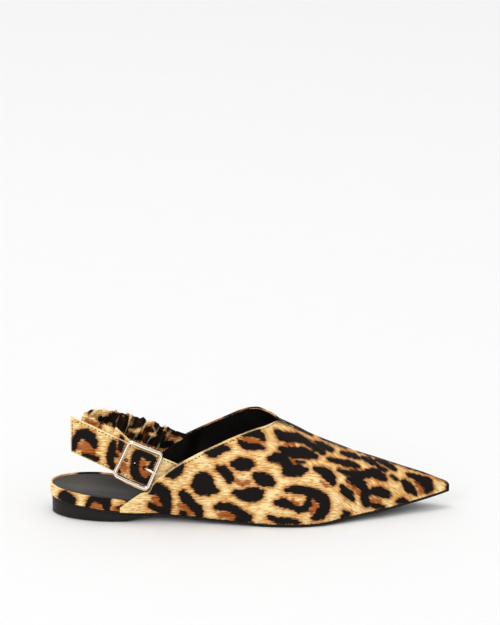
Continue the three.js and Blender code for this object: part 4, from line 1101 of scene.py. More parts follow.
def band_piece(print_cloth):
    reach = BAND_END * LENGTH
    half = reach * (1 - np.cos(np.linspace(0, math.pi / 2, 120)))
    line = [("lateral", x) for x in half[:0:-1]] + [("medial", x) for x in half]
    edge = np.array([(x, OUTWARD[side] * half_width(side, x), 0) for side, x in line])
    along = np.gradient(edge, axis=0)
    along /= np.linalg.norm(along, axis=1, keepdims=True)
    out = np.stack([-along[:, 1], along[:, 0], np.zeros(len(along))], 1)
    rows = []
    for i, (_, x) in enumerate(line):
        thin = share_along(*BAND_THINS, x)
        low = sole_top(x) + BAND_TO_SOLE
        high = low + BAND_HEIGHT * mix(1, BAND_END_HEIGHT, thin)
        row = []
        for inwards, up in band_section():
            p = edge[i] + out[i] * (band_face(x) - band_thickness(x) * BAND_SLIM * inwards)
            row.append((p[0], p[1], mix(low, high, up)))
        rows.append(row)
    rows = np.array(rows)
    shell = Shell()
    marks = print_marks(BAND_CHART, rows, out[:, None] + np.array([0, 0, 0.2]))
    shell.grid(rows, around=True, ends=True, **marks)
    return shell.piece("heel_band_cloth", [print_cloth], ["heel_band"], slot="band_cloth")


def insole_piece(finish):
    """The padded sock: rolled rim, pressed line and a dish at the heel."""
    start = BAND_THICKNESS * BAND_SLIM - BAND_BULGE + SOCK_BACK_GAP
    stations = [
        *round_stations(start, 46),
        *np.linspace(HEEL_MIDDLE * LENGTH, PAD_END * LENGTH, 120)[1:],
    ]
    shell = Shell()
    rows = []
    for x in stations:
        behind = band_thickness(x) * BAND_SLIM - band_face(x) if x <= BAND_END * LENGTH + 2 else 0
        edge = max(behind, WALL - lap(x)) + SOCK_GAP
        seat = 1 - share_along(*SEAT_TO_FOREPART, x)
        bottom = sole_top(x) + GAP
        thick = mix(PAD_THIN, BAND_HEIGHT - PAD_BELOW_BAND + SOCK_RIM_RISE, seat) - GAP
        back = float(ease(x, start, start + SOCK_DISH_RUN))
        depth = PAD_DISH * seat * back + SOCK_LEAST_DISH

        def dish(s, depth=depth):
            seam = math.exp(-(((1 - s) * SOCK_HALF_WIDTH - SOCK_SEAM) / SOCK_SEAM_WIDTH) ** 2)
            return depth * float(ease(1 - s, 0.0, 0.75)) + SOCK_SEAM_DEPTH * seam

        rows.append(slab_row(x, edge, bottom, bottom + thick, SOCK_EDGE, SOCK_STEPS, dish))
    rows = np.array(rows)
    # Painted highlight: a soft paler patch on the seat of the sock
    (x, y), (long, wide) = SOCK_PAINTED_HIGHLIGHT
    polish = np.exp(-(((rows[..., 0] - x) / long) ** 2) - ((rows[..., 1] - y) / wide) ** 2)
    shell.grid(rows, around=True, ends=True, polish=polish)
    piece = shell.piece("sock", [finish], ["insole"], slot="sock_charcoal")
    return piece


# Sling


def strap_piece(print_cloth):
    """The strap: two faces with punched holes, and a rim."""
    back, front = -strap_line.zero, strap_line.length - strap_line.zero
    across = np.linspace(-1, 1, STRAP_COLUMNS)
    start = back - across * STRAP_WIDTH / 2 * STRAP_CUT
    along = start + (front - start) * np.linspace(0, 1, STRAP_ROWS)[:, None]
    width = np.broadcast_to(across * STRAP_WIDTH / 2, along.shape).copy()
    hole_edge = np.full(along.shape, FAR)
    for k in HOLES:
        at = PRONG_HOLE + k * HOLE_PITCH
        gap = np.hypot(along - at, width)
        close = np.abs(gap - HOLE_DIAMETER / 2) < HOLE_SNAP
        pull = np.where(close, HOLE_DIAMETER / 2 / np.maximum(gap, 1e-6), 1.0)
        along, width = at + (along - at) * pull, width * pull
        hole_edge = np.minimum(hole_edge, np.hypot(along - at, width) - HOLE_DIAMETER / 2)
    corners = (hole_edge[:-1, :-1], hole_edge[1:, :-1], hole_edge[1:, 1:], hole_edge[:-1, 1:])
    keep = np.mean(corners, 0) > 0
    past_flat = np.clip((np.abs(across) - STRAP_FLAT) / (1 - STRAP_FLAT), 0, 1)
    round_off = 1 - past_flat**2 * STRAP_EDGE_THINS
    end_gap = np.abs(along - along[0]) * 0.9
    edge = np.minimum(STRAP_WIDTH / 2 - np.abs(width), end_gap)
    shell = Shell()
    grids = []
    for face in (1, -1):
        sunk = HOLE_SINK * (1 - ease(hole_edge, 0.0, HOLE_SINK_REACH))
        depth = face * (STRAP_FACE * np.broadcast_to(round_off, along.shape) - sunk)
        points = strap_line.place(along, width, depth)
        marks = print_marks(STRAP_CHART, points, np.array([0.2, -face, 0]))
        marks["black"] = np.where(hole_edge < 0.45, np.minimum(marks["black"], 0.3), marks["black"])
        ids = shell.grid(points, edge=edge, keep=keep, **marks)
        grids.append((ids, points, marks))
    (top, top_points, marks), (under, under_points, _) = grids
    for row, column in np.argwhere(~keep):
        for (dr, dc), (a, b) in HOLE_SIDES.items():
            if keep[row + dr, column + dc]:
                a, b = (row + a[0], column + a[1]), (row + b[0], column + b[1])
                shell.faces.append([int(top[a]), int(top[b]), int(under[b]), int(under[a])])
                shell.finish.append(0)
    for end in (0, -1):
        for cut in ((end, slice(None)), (slice(None), end)):
            rim = np.stack([top_points[cut], under_points[cut]])
            rim_marks = {key: np.stack([value[cut]] * 2) for key, value in marks.items()}
            shell.grid(rim, edge=np.zeros(rim.shape[:2]), **rim_marks)
    return shell.piece("strap_cloth_piece", [print_cloth], ["strap"], slot="strap_cloth")


def gathers(distance, across):
    """Height of the gathers, 0 in a fold and 1 on a ridge, over the length and the width."""
    # Uneven waves, given so that no two gathers are alike
    lean = 0.9 * across + 0.5 * np.sin(0.42 * distance + 2.2 * across)
    phase = (distance + lean) / GATHER_PITCH
    phase += 0.34 * np.sin(0.53 * distance + 0.7) + 0.2 * np.sin(1.07 * distance - 1.3 * across)
    ridge = np.abs(np.sin(math.pi * phase)) ** 0.75
    fine = np.abs(np.sin(math.pi * (1.9 * phase + 0.8 * across + 0.2 * np.sin(distance))))
    grows = 0.72 + 0.28 * np.sin(0.71 * distance + 1.9 * across + 1)
    return ridge * grows * 0.82 + fine * 0.18


def elastic_piece(print_cloth):
    """The elastic in its gathered cover, flat at both ends."""
    count, around = 620, 72
    t = np.linspace(0, 1, count)[:, None]
    along = t * (elastic_line.length + TUCK) - TUCK
    under_tab = 1 - ease(along, -TUCK, 2.5)
    ends = np.minimum(ease(along, *GATHERS_START), 1 - ease(along / elastic_line.length, *GATHERS_END))
    angle = np.linspace(0, 2 * math.pi, around, endpoint=False)
    c, s = np.cos(angle), np.sin(angle)
    across = np.sign(c) * np.abs(c) ** 0.7
    fold = gathers(along, across + 0 * along)
    fold = np.where(s < 0, gathers(along + 1.7, -across + 0 * along), fold)
    fold = mix(0.6, fold, np.abs(s) ** 0.4)
    lift = (fold - 0.55) * GATHER_DEPTH * ends
    rim = (gathers(along, np.sign(c) + 0 * along) - 0.6) * RIM_DEPTH * ends
    thick = mix(mix(ELASTIC_FLAT, ELASTIC_THICKNESS - ELASTIC_SLIM, ends), FLAT_END_THICKNESS, under_tab) / 2
    width = (ELASTIC_WIDTH / 2 - FLAT_END_NARROWS * under_tab + rim) * across
    depth = (thick + lift) * np.sign(s) * np.abs(s) ** 0.55
    distance = np.broadcast_to(along, width.shape)
    points = elastic_line.place(distance, width, depth)
    outward = points - elastic_line.place(distance, 0 * width, 0 * depth)
    ridge = 1 - ease(nearest(ELASTIC_RIDGES, *chart_place(points, -1)), -0.9, 1.1)
    ridge *= ends * (1 - facing_away(points, outward))
    # Ridges seen in the view also get the painted highlight.
    fold = np.maximum(fold, ridge)
    points = elastic_line.place(distance, width, depth + GATHER_RIDGE * ridge * np.sign(s))
    marks = print_marks(ELASTIC_CHART, points, outward)
    # Black spots are grown by 0.9 mm, partly print and partly painted shade of the gathers; on a seen ridge
    # the black is pushed back, a painted highlight.
    marks["black"] += 3.0 * ridge - 0.9
    shell = Shell()
    shell.grid(points, around=True, ends=True, fold=mix(0.6, fold, ends), **marks)
    return shell.piece("ruched_elastic", [print_cloth], ["elastic"], slot="ruched_cloth")


def tab_piece(print_cloth):
    """Two layers folded round the bar, open for the prong's eye and for the elastic's flat end."""
    rear, join = -TAB_LENGTH, -LOOP_RADIUS - TAB_FOLD
    middle = TAB_FRONT - TAB_LAYER
    half = STRAP_WIDTH / 2 - STRAP_PLAY
    turns = np.linspace(-math.pi / 2, math.pi / 2, 17)
    straight = np.linspace(0, 1, 12)[:, None]

    def side(along, level, apart):
        """One side of a layer between the rear end and the join, moved by its share of the pocket."""
        pocket = mix(TAB_POCKET, TAB_SLIT, ease(along, rear + TUCK, rear + TUCK + TAB_POCKET_CLOSES))
        return np.concatenate([along, level + apart * pocket], 1)

    run = rear + (join - rear) * straight
    arcs = [
        np.stack([r * np.cos(turns), PIN_MIDDLE + r * np.sin(turns)], 1)
        for r in (LOOP_RADIUS, PIN_RADIUS + GAP)
    ]

    def lead(depth, arc):
        """Two points between the join and the arc, where the eye's slit opens."""
        return [mix(np.array([join, depth]), arc, t) for t in (0.2, 0.4)]

    outer, inner = arcs
    profile = np.concatenate([
        side(run, middle - TAB_LAYER, 0), lead(middle - TAB_LAYER, outer[0]), outer,
        lead(TAB_FRONT, outer[-1])[::-1], side(run[::-1], TAB_FRONT, 0),
        side(run, middle, 1), lead(middle, inner[-1]), inner[::-1],
        lead(middle, inner[0])[::-1], side(run[::-1], middle, -1),
    ])
    behind = np.clip((join - profile[:, 0]) / (join + TAB_LENGTH), 0, 1)[:, None]
    wide = half + TAB_WIDEN * behind
    starts, full = (-LOOP_RADIUS - behind_fold for behind_fold in EYE_SLIT)
    split = mix(TAB_SLIT, PRONG_EYE / 2 + GAP, ease(profile[:, :1], starts, full))
    shell = Shell()
    for hand in (-1, 1):
        across = hand * mix(split, wide, np.linspace(0, 1, 16))
        width = TAB_RISE * behind**1.3 + across
        distance = np.broadcast_to(profile[:, :1], width.shape)
        depth = np.broadcast_to(profile[:, 1:], width.shape)
        points = strap_line.place(distance, width, depth).transpose(1, 0, 2)
        marks = print_marks(STRAP_CHART, points, np.array([0, -1.0, 0]))
        shell.grid(points, around=True, ends=True, edge=(wide - np.abs(across)).T, **marks)
    return shell.piece("tab_fold", [print_cloth], ["tab"], sharp=50, slot="tab_cloth")


# Buckle


def on_strap(points):
    """Places (along, across, outward) of the buckle's own plan on the strap."""
    p = np.asarray(points, float)
    return strap_line.place(p[..., 0], p[..., 1], p[..., 2])


def rounded_frame(half_long, half_wide, radius):
    """Plan of a rectangle with round corners, as points and their outward directions."""
    points, outward = [], []
    for turn, (sx, sy) in enumerate(((1, 1), (-1, 1), (-1, -1), (1, -1))):
        for t in np.linspace(0, math.pi / 2, 12):
            angle = turn * math.pi / 2 + t
            out = np.array([math.cos(angle), math.sin(angle)])
            corner = np.array([sx * (half_long - radius), sy * (half_wide - radius)])
            points.append(corner + out * radius)
            outward.append(out)
    return np.array(points), np.array(outward)


def evened(points, outward, step):
    """The same closed plan with points no further apart than a step."""
    found = []
    for i in range(len(points)):
        a, b = points[i], points[(i + 1) % len(points)]
        u, v = outward[i], outward[(i + 1) % len(points)]
        count = max(1, int(np.linalg.norm(b - a) / step))
        for t in np.arange(count) / count:
            found.append((*mix(a, b, t), *mix(u, v, t)))
    found = np.array(found)
    return found[:, :2], found[:, 2:]


def buckle_piece(faces, bevels):
    """The buckle: a frame with bevels, its pin, and the two posts that carry it."""
    half_long, half_wide = BUCKLE_LENGTH / 2, OPENING / 2 + BAR_WIDTH
    plan, out = evened(*rounded_frame(half_long, half_wide, CORNER_RADIUS), PLAN_STEP)
    shell = Shell()
    for finish, rows in BAR_SECTION:
        rings = []
        for inwards, rise in rows:
            at = plan - out * inwards * BAR_WIDTH
            rings.append(np.column_stack([at, np.full(len(at), FRAME_BACK + rise * BAR_DEPTH)]))
        shell.grid(on_strap(np.array(rings)), finish, around=True)
    turns = np.linspace(0, 2 * math.pi, ROUND_POINTS + 1)[:-1]
    reach = OPENING / 2 + 0.6
    rod = [
        [(PIN_RADIUS * math.cos(t), y, PIN_MIDDLE + PIN_RADIUS * math.sin(t)) for t in turns]
        for y in np.linspace(-reach, reach, 30)
    ]
    shell.grid(on_strap(rod), 0, around=True, ends=True)
    for end in (-1, 1):
        foot = np.array([[-1, 0], [1, 0], [1, 1], [-1, 1]])
        middle = end * (OPENING / 2 + POST_START)
        post = [
            [(a * PIN_RADIUS, middle + end * b * POST_WIDTH, z) for a, b in foot]
            for z in np.linspace(PIN_MIDDLE - PIN_RADIUS, FRAME_BACK + 0.5, 6)
        ]
        shell.grid(on_strap(post), 0, around=True, ends=True)
    return shell.piece("buckle_frame", [faces, bevels], ["buckle"], sharp=24, slot="buckle_metal")


def prong_piece(metal):
    """The prong: a tapering rod and the eye that turns on the pin."""
    path = smooth_line(np.array([(a, 0, d) for a, d in PRONG_LINE], float), 60)
    steps = np.gradient(path, axis=0)
    steps /= np.linalg.norm(steps, axis=1, keepdims=True)
    up = np.stack([-steps[:, 2], 0 * steps[:, 0], steps[:, 0]], 1)
    turns = np.linspace(0, 2 * math.pi, ROUND_POINTS + 1)[:-1]
    radius = PRONG_RADIUS * mix(1, PRONG_TAPER, ease(np.linspace(0, 1, len(path)), 0.75, 1))
    rod = (
        path[:, None]
        + up[:, None] * (radius[:, None] * np.cos(turns))[..., None]
        + np.array([0, 1, 0]) * (radius[:, None] * np.sin(turns))[..., None]
    )
    shell = Shell()
    shell.grid(on_strap(rod), around=True, ends=True)
    eye = []
    for y in (-PRONG_EYE / 2, PRONG_EYE / 2):
        for radius in (PIN_RADIUS + GAP, LOOP_RADIUS)[:: 1 if y < 0 else -1]:
            eye.append([(radius * math.cos(t), y, PIN_MIDDLE + radius * math.sin(t)) for t in turns])
    eye.append(eye[0])
    shell.grid(on_strap(np.array(eye)), around=True)
    return shell.piece("prong_rod", [metal], ["prong"], sharp=40, slot="prong_metal")


# Stitches


def stitch_row(shell, line, outward, lift):
    """Thread along a line: short rounded stitches, half sunk in the cloth."""
    at = distances(line[None])[0]
    turns = np.linspace(0, 2 * math.pi, 7)[:-1]
    for start in np.arange(STITCH_PITCH * 0.4, at[-1] - STITCH_LENGTH, STITCH_PITCH):
        reach = start + STITCH_LENGTH * np.linspace(0, 1, 6)
        p = np.stack([np.interp(reach, at, line[:, k]) for k in range(3)], -1)
        out = np.stack([np.interp(reach, at, outward[:, k]) for k in range(3)], -1)
        out /= np.linalg.norm(out, axis=-1, keepdims=True)
        step = np.gradient(p, axis=0)
        side = np.cross(step, out)
        side /= np.linalg.norm(side, axis=-1, keepdims=True)
        bow = lift * STITCH_BOW
        ring = (p + out * bow[:, None])[:, None] + THREAD_RADIUS * STITCH_SWELL[:, None, None] * (
            out[:, None] * np.cos(turns)[:, None] + side[:, None] * np.sin(turns)[:, None]
        )
        shell.grid(ring, around=True, ends=True)


def stitches(thread, edges):
    """The seam of the topline and the seam round the strap."""
    shell = Shell()
    for side, outer in edges.items():
        below = distances(outer[:, ::-1])[:, ::-1]
        normal = np.cross(np.gradient(outer, axis=0), np.gradient(outer, axis=1))
        normal *= np.sign(normal[..., 1:2] * OUTWARD[side])
        line, out = [], []
        for i in range(len(outer)):
            line.append([np.interp(-SEAM_BELOW, -below[i], outer[i][:, k]) for k in range(3)])
            out.append([np.interp(-SEAM_BELOW, -below[i], normal[i][:, k]) for k in range(3)])
        line, out = np.array(line), np.array(out)
        clear = line[:, 0] > SEAM_START
        out = out[clear] / np.linalg.norm(out[clear], axis=1)[:, None]
        stitch_row(shell, line[clear], out, UPPER_LIFT)
    back, front = -strap_line.zero, strap_line.length - strap_line.zero
    for face in (1, -1):
        for end in (1, -1):
            width = end * (STRAP_WIDTH / 2 - STRAP_SEAM)
            begin = back - width * STRAP_CUT + STRAP_SEAM
            row = np.linspace(begin, front - 1, 200)
            line = strap_line.place(row, 0 * row + width, 0 * row + face * STRAP_FACE)
            above = strap_line.place(row, 0 * row + width, 0 * row + face * (STRAP_FACE + 1))
            stitch_row(shell, line, above - line, STRAP_LIFT)
    width = np.linspace(-1, 1, 40) * (STRAP_WIDTH / 2 - STRAP_SEAM)
    row = back - width * STRAP_CUT + STRAP_SEAM
    line = strap_line.place(row, width, 0 * row + STRAP_FACE)
    above = strap_line.place(row, width, 0 * row + STRAP_FACE + 1)
    stitch_row(shell, line, above - line, STRAP_LIFT)
    return shell.piece("stitches", [thread])


# Finishes


class Nodes:
    """Adds nodes to a tree and joins them up."""

    def __init__(self, tree):
        self.tree = tree

    def add(self, kind, inputs=(), **settings):
        node = self.tree.nodes.new("ShaderNode" + kind)
        for key, value in settings.items():
            setattr(node, key, value)
        for key, value in dict(inputs).items():
            if isinstance(value, bpy.types.NodeSocket):
                self.tree.links.new(value, node.inputs[key])
            else:
                node.inputs[key].default_value = value
        return node

    def math(self, operation, a, b=0.0, c=0.0):
        return self.add("Math", {0: a, 1: b, 2: c}, operation=operation).outputs[0]

    def ramp(self, value, start, end):
        """0 at start, 1 at end, smooth between them; start may be the larger one."""
        low, high = min(start, end), max(start, end)
        to = (0.0, 1.0) if start < end else (1.0, 0.0)
        inputs = {"Value": value, "From Min": low, "From Max": high, "To Min": to[0], "To Max": to[1]}
        return self.add("MapRange", inputs, interpolation_type="SMOOTHSTEP").outputs["Result"]

    def blend(self, share, a, b):
        inputs = {0: share, 6: a, 7: b}
        return self.add("Mix", inputs, data_type="RGBA").outputs[2]

    def mark(self, name, output="Fac"):
        return self.add("Attribute", attribute_name=name, attribute_type="GEOMETRY").outputs[output]

    def noise(self, place, scale, detail=2.0):
        inputs = {"Vector": place, "Scale": scale, "Detail": detail}
        found = self.add("TexNoise", inputs, noise_dimensions="3D").outputs[0]
        return self.math("SUBTRACT", found, 0.5)

    def place(self, x, y, z=0.0):
        return self.add("CombineXYZ", {0: x, 1: y, 2: z}).outputs[0]


def new_group(name, inputs, outputs):
    """An empty node group with named sockets; gives its nodes, its input and its output."""
    group = bpy.data.node_groups.new(name, "ShaderNodeTree")
    for label, (kind, value) in inputs.items():
        socket = group.interface.new_socket(label, in_out="INPUT", socket_type="NodeSocket" + kind)
        socket.default_value = value
    for label, kind in outputs.items():
        group.interface.new_socket(label, in_out="OUTPUT", socket_type="NodeSocket" + kind)
    nodes = Nodes(group)
    start = group.nodes.new("NodeGroupInput")
    return group, nodes, start.outputs, group.nodes.new("NodeGroupOutput")


HAIR_LENGTH = 3.8
HAIR_WIDTH = 0.5
HAIR_SLANT = math.radians(40)
COARSE_HAIR = 2.3  # times the size of the fine hair
WOBBLE_SCALE = 0.34  # per millimetre
PATCH_SCALE = 0.085
# How far hair and wobble push a spot's edge, in millimetres for a full swing
EDGE_BY_FINE = 3.6
EDGE_BY_COARSE = 1.7
EDGE_BY_WOBBLE = 1.8
# How much each lightens or darkens the ground
TONE_BY_FINE = 3.4
TONE_BY_COARSE = 1.9
TONE_BY_PATCH = 1.1


def printed_hair():
    """Short-haired cloth: gold and cream hair with black and rust spots, and a painted highlight along the
    folded edge.
    """
    group, n, given, out = new_group(
        "printed hair",
        {
            "Cream": ("Color", (1, 0.8, 0.4, 1)),
            "Gold": ("Color", (0.7, 0.4, 0.1, 1)),
            "Rust": ("Color", (0.4, 0.1, 0.02, 1)),
            "Black": ("Color", (0.01, 0.01, 0.01, 1)),
            "Fuzz": ("Float", 1.0),
            "Edge highlight": ("Float", 0.8),
        },
        {"Color": "Color", "Height": "Float"},
    )
    nap = n.add("SeparateXYZ", {0: n.mark("nap", "Vector")}).outputs
    along, up, lean = nap[0], nap[1], nap[2]
    c, s = math.cos(HAIR_SLANT), math.sin(HAIR_SLANT)
    down = n.math("SUBTRACT", n.math("MULTIPLY", along, c), n.math("MULTIPLY", up, s))
    over = n.math("ADD", n.math("MULTIPLY", along, s), n.math("MULTIPLY", up, c))

    def streaks(lengthwise, across, layer, longer=1.0):
        level = n.place(
            n.math("DIVIDE", lengthwise, HAIR_LENGTH * longer),
            n.math("DIVIDE", across, HAIR_WIDTH * longer),
            layer,
        )
        return n.noise(level, 1.0)

    def hair(layer, longer):
        level, slant = streaks(along, up, layer, longer), streaks(down, over, layer + 9.0, longer)
        both = n.add("Mix", {0: lean, 2: level, 3: slant}, data_type="FLOAT")
        return both.outputs[0]

    fine, coarse = hair(0.0, 1.0), hair(4.0, COARSE_HAIR)
    flat = n.place(along, up, 3.0)
    wobble = n.noise(flat, WOBBLE_SCALE, 1.0)
    patch = n.noise(flat, PATCH_SCALE, 1.0)
    ragged = n.math("MULTIPLY_ADD", fine, EDGE_BY_FINE, n.math("MULTIPLY", coarse, EDGE_BY_COARSE))
    ragged = n.math("MULTIPLY", n.math("MULTIPLY_ADD", wobble, EDGE_BY_WOBBLE, ragged), given["Fuzz"])
    black_at = n.math("ADD", n.mark("black"), ragged)
    rust_at = n.math("MULTIPLY_ADD", ragged, 1.3, n.mark("rust"))
    tone = n.math("MULTIPLY_ADD", coarse, TONE_BY_COARSE, n.math("MULTIPLY", patch, TONE_BY_PATCH))
    tone = n.math("MULTIPLY_ADD", fine, TONE_BY_FINE, tone)
    ground = n.blend(n.ramp(tone, -0.62, 0.25), given["Gold"], given["Cream"])
    edge = n.mark("edge")
    gold_hair = n.math("MULTIPLY", n.ramp(rust_at, 1.2, -0.7), n.ramp(fine, -0.3, 0.1))
    dark_hair = n.math("MULTIPLY", n.ramp(rust_at, 1.0, -0.6), n.ramp(coarse, 0.02, -0.2))
    colour = ground
    for mask, share, over in (
        (n.ramp(black_at, 4.2, 1.6), 0.55, "Gold"),  # halo round a spot
        (n.ramp(black_at, 2.2, 0.8), 0.5, "Rust"),  # fringe nearer to it
        (n.ramp(rust_at, 2.2, 0.0), 0.92, "Rust"),  # heart of a spot
        (gold_hair, 0.15, "Gold"),
        (dark_hair, 0.55, "Black"),
        (n.ramp(black_at, 1.1, 0.0), 1.0, "Black"),  # the spot itself
        # painted highlight along the folded edge
        (n.ramp(edge, 0.8, 0.05), given["Edge highlight"], "Cream"),  # folded edge
    ):
        colour = n.blend(n.math("MULTIPLY", mask, share), colour, given[over])
    seam = n.math("ABSOLUTE", n.math("SUBTRACT", edge, SEAM_BELOW))
    dip = n.math("MULTIPLY", n.ramp(seam, SEAM_DENT, 0.0), -0.7)
    height = n.math("ADD", n.math("MULTIPLY_ADD", fine, 0.8, n.math("MULTIPLY", coarse, 0.6)), dip)
    group.links.new(colour, out.inputs["Color"])
    group.links.new(height, out.inputs["Height"])
    return group


def soft_grain():
    """Even surface with faint mottling: a colour, a roughness and a height."""
    group, n, given, out = new_group(
        "soft grain",
        {
            "Base": ("Color", (0.02, 0.02, 0.02, 1)),
            "Worn": ("Color", (0.05, 0.05, 0.05, 1)),
            "Scale": ("Float", 300.0),
            "Roughness": ("Float", 0.4),
            "Unevenness": ("Float", 0.1),
        },
        {"Color": "Color", "Roughness": "Float", "Height": "Float"},
    )
    place = n.add("TexCoord").outputs["Object"]
    broad = n.noise(place, 38.0, 3.0)
    grain = n.add("TexNoise", {"Vector": place, "Scale": given["Scale"], "Detail": 4.0}).outputs[0]
    colour = n.blend(n.ramp(broad, -0.15, 0.3), given["Base"], given["Worn"])
    rough = n.math("MULTIPLY_ADD", broad, given["Unevenness"], given["Roughness"])
    group.links.new(colour, out.inputs["Color"])
    group.links.new(rough, out.inputs["Roughness"])
    group.links.new(grain, out.inputs["Height"])
    return group


def new_finish(name, **sockets):
    """A material with its shader's own sockets set; gives it, its nodes and its shader."""
    made = bpy.data.materials.new(name)
    made.use_nodes = True
    shader = made.node_tree.nodes["Principled BSDF"]
    for key, value in sockets.items():
        shader.inputs[key.replace("_", " ")].default_value = value
    return made, Nodes(made.node_tree), shader


def place_group(n, group, values):
    """A node group placed in a material with its own values."""
    node = n.tree.nodes.new("ShaderNodeGroup")
    node.node_tree = group
    for key, value in values.items():
        node.inputs[key].default_value = value
    return node


def bumped(n, shader, height, depth, strength=1.0):
    """Joins a height to a shader's normal."""
    bump = n.add("Bump", {"Height": height, "Distance": depth, "Strength": strength})
    n.tree.links.new(bump.outputs[0], shader.inputs["Normal"])


CREAM = (1.0, 0.82, 0.41, 1)
GOLD = (0.66, 0.26, 0.035, 1)
RUST = (0.36, 0.065, 0.005, 1)
BLACK = (0.0085, 0.006, 0.0052, 1)
PAINTED_FOLD_SHADE = (0.07, 0.018, 0.004, 1)  # painted shade of the cloth deep in a gather
HAIR_RELIEF = 0.00022


def leopard(name, group, fuzz=1.0, fold=0.6, paint_fold_light=False):
    """One leopard cloth; the gathered one also gets painted shade deep in its gathers and a painted
    highlight on its ridges.
    """
    made, n, shader = new_finish(name, Roughness=0.6, Specular_IOR_Level=0.08)
    tones = {"Cream": CREAM, "Gold": GOLD, "Rust": RUST, "Black": BLACK}
    hair = place_group(n, group, {**tones, "Fuzz": fuzz, "Edge highlight": fold})
    colour = hair.outputs["Color"]
    if paint_fold_light:
        # Painted shade deep in the gathers and a painted highlight on their ridges, both read from the fold
        # mark.
        fold_mark = n.mark("fold")
        dark = n.math("MULTIPLY", n.ramp(fold_mark, 0.5, 0.08), 0.88)
        colour = n.blend(dark, colour, PAINTED_FOLD_SHADE)
        pale = n.math("MULTIPLY", n.ramp(fold_mark, 0.72, 0.98), 0.3)
        colour = n.blend(pale, colour, CREAM)
    n.tree.links.new(colour, shader.inputs["Base Color"])
    bumped(n, shader, hair.outputs["Height"], HAIR_RELIEF, 0.7)
    return made


def grained(name, group, base, worn, scale, rough, uneven, depth, highlight_colour=None, **sockets):
    """A plain finish with faint grain; a painted highlight is blended in where a highlight colour is given.
    """
    made, n, shader = new_finish(name, **sockets)
    values = {"Base": (*base, 1), "Worn": (*worn, 1), "Scale": scale, "Roughness": rough}
    grain = place_group(n, group, {**values, "Unevenness": uneven})
    colour = grain.outputs["Color"]
    if highlight_colour:
        # painted highlight, blended in by its mark
        colour = n.blend(n.mark("polish"), colour, (*highlight_colour, 1))
    n.tree.links.new(colour, shader.inputs["Base Color"])
    n.tree.links.new(grain.outputs["Roughness"], shader.inputs["Roughness"])
    bumped(n, shader, grain.outputs["Height"], depth)
    return made


hair_group = printed_hair()
grain_group = soft_grain()

# The fold argument sets the strength of the painted highlight along folded edges.
upper_cloth = leopard("leopard cloth of the upper", hair_group)
band_cloth = leopard("leopard cloth of the heel band", hair_group, fuzz=0.9, fold=0.0)
strap_cloth = leopard("leopard cloth of the strap", hair_group, fuzz=0.9, fold=0.6)
ruched_cloth = leopard("gathered leopard cloth", hair_group, fuzz=0.7, fold=0.0, paint_fold_light=True)
tab_cloth = leopard("leopard cloth of the tab", hair_group, fuzz=0.9, fold=0.75)
lining = grained(
    "black lining", grain_group, (0.0075, 0.0068, 0.0062), (0.011, 0.01, 0.0092), 900.0, 0.25, 0.12, 0.00004,
    Specular_IOR_Level=0.5,
)
sole_finish = grained(
    "black sole", grain_group, (0.012, 0.0105, 0.009), (0.016, 0.014, 0.012), 700.0, 0.42, 0.12, 0.00004,
    Specular_IOR_Level=0.14,
)
heel_finish = grained(
    "black heel", grain_group, (0.012, 0.0105, 0.009), (0.017, 0.015, 0.0125), 700.0, 0.4, 0.12, 0.00004,
    Specular_IOR_Level=0.15,
)
# The sock carries a painted highlight on its seat.
sock_finish = grained(
    "charcoal sock", grain_group, (0.013, 0.0118, 0.0105), (0.02, 0.018, 0.016), 1100.0, 0.5, 0.12, 0.00006,
    highlight_colour=(0.085, 0.077, 0.068), Specular_IOR_Level=0.2,
)
thread_finish = grained(
    "dark thread", grain_group, (0.02, 0.012, 0.008), (0.04, 0.024, 0.014), 2500.0, 0.6, 0.1, 0.00003,
    Specular_IOR_Level=0.2,
)
pale_gold = grained(
    "pale gold", grain_group, (1.0, 0.96, 0.87), (1.0, 0.94, 0.82), 400.0, 0.2, 0.06, 0.000002,
    Metallic=1.0,
)
# Darker gold of the bevels: painted shade, standing in for darker reflections there
painted_shade_bevel = grained(
    "gold bevels", grain_group, (0.6, 0.33, 0.11), (0.48, 0.24, 0.07), 400.0, 0.24, 0.08, 0.000002,
    Metallic=1.0,
)

_, edges = upper_piece(upper_cloth, lining)
outsole_piece(sole_finish)
heel_piece(heel_finish)
band_piece(band_cloth)
insole_piece(sock_finish)
strap_piece(strap_cloth)
elastic_piece(ruched_cloth)
tab_piece(tab_cloth)
buckle_piece(pale_gold, painted_shade_bevel)
prong_piece(pale_gold)
stitches(thread_finish, edges)


# Camera, light and floor


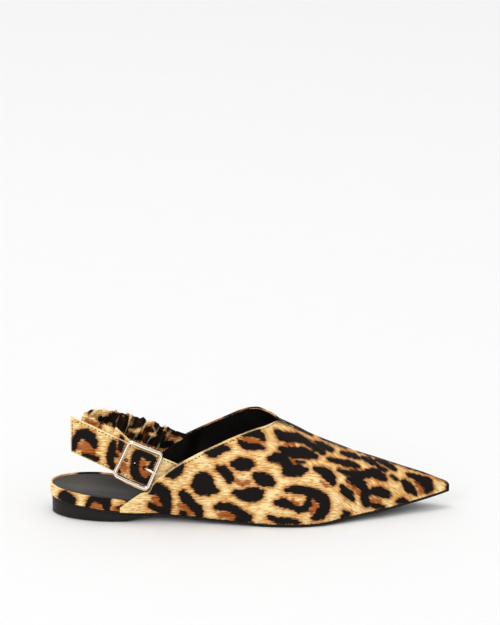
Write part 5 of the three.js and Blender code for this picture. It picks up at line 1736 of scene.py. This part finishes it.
def soft_light(name, power, size, at, target=(0, 0, 0.03)):
    """A rectangular lamp turned to the shoe."""
    light = bpy.data.lights.new(name, "AREA")
    light.shape = "RECTANGLE"
    light.size, light.size_y = size
    light.energy = power
    made = bpy.data.objects.new(name, light)
    made.location = at
    made.rotation_euler = (Vector(target) - Vector(at)).to_track_quat("-Z", "Y").to_euler()
    bpy.context.scene.collection.objects.link(made)


IMAGE_WIDTH = 500
PIXELS_PER_METRE = 1506
VIEW_DISTANCE = 2.5
VIEW_AIM = Vector((0, 0, 0.033))
AIM_BELOW_MIDDLE = 149  # pixels of the photo
FILM_WIDTH = 36
FLOOR_REACH = 8
FLOOR_DROP = -0.0003
ROOM_LIGHT = 0.77


def camera():
    data = bpy.data.cameras.new("camera")
    data.sensor_width = FILM_WIDTH
    data.sensor_fit = "HORIZONTAL"
    data.lens = FILM_WIDTH * PIXELS_PER_METRE * VIEW_DISTANCE / IMAGE_WIDTH
    data.shift_y = AIM_BELOW_MIDDLE / IMAGE_WIDTH
    data.clip_end = 50
    made = bpy.data.objects.new("camera", data)
    back = Vector((0, -math.cos(EYE_ABOVE), math.sin(EYE_ABOVE)))
    made.location = VIEW_AIM + back * VIEW_DISTANCE
    made.rotation_euler = (-back).to_track_quat("-Z", "Y").to_euler()
    bpy.context.scene.collection.objects.link(made)
    bpy.context.scene.camera = made


def floor():
    mesh = bpy.data.meshes.new("floor")
    square = ((-1, -1), (1, -1), (1, 1), (-1, 1))
    corners = [(FLOOR_REACH * a, FLOOR_REACH * b, FLOOR_DROP) for a, b in square]
    mesh.from_pydata(corners, [], [(0, 1, 2, 3)])
    made = bpy.data.objects.new("floor", mesh)
    pale, paler = (0.9, 0.9, 0.9), (0.905, 0.905, 0.905)
    mesh.materials.append(grained("pale floor", grain_group, pale, paler, 90.0, 0.85, 0.05, 0.00001))
    bpy.context.scene.collection.objects.link(made)


def world():
    made = bpy.data.worlds.new("white room")
    made.use_nodes = True
    made.node_tree.nodes["Background"].inputs["Color"].default_value = (1, 1, 1, 1)
    made.node_tree.nodes["Background"].inputs["Strength"].default_value = ROOM_LIGHT
    bpy.context.scene.world = made


camera()
floor()
world()
soft_light("softbox above", 72, (2.6, 2.2), (-0.7, 0.1, 5.2))
soft_light("softbox front", 50, (2.7, 2.1), (-2.4, -3.9, 2.6))
bpy.context.scene.view_settings.view_transform = "Standard"
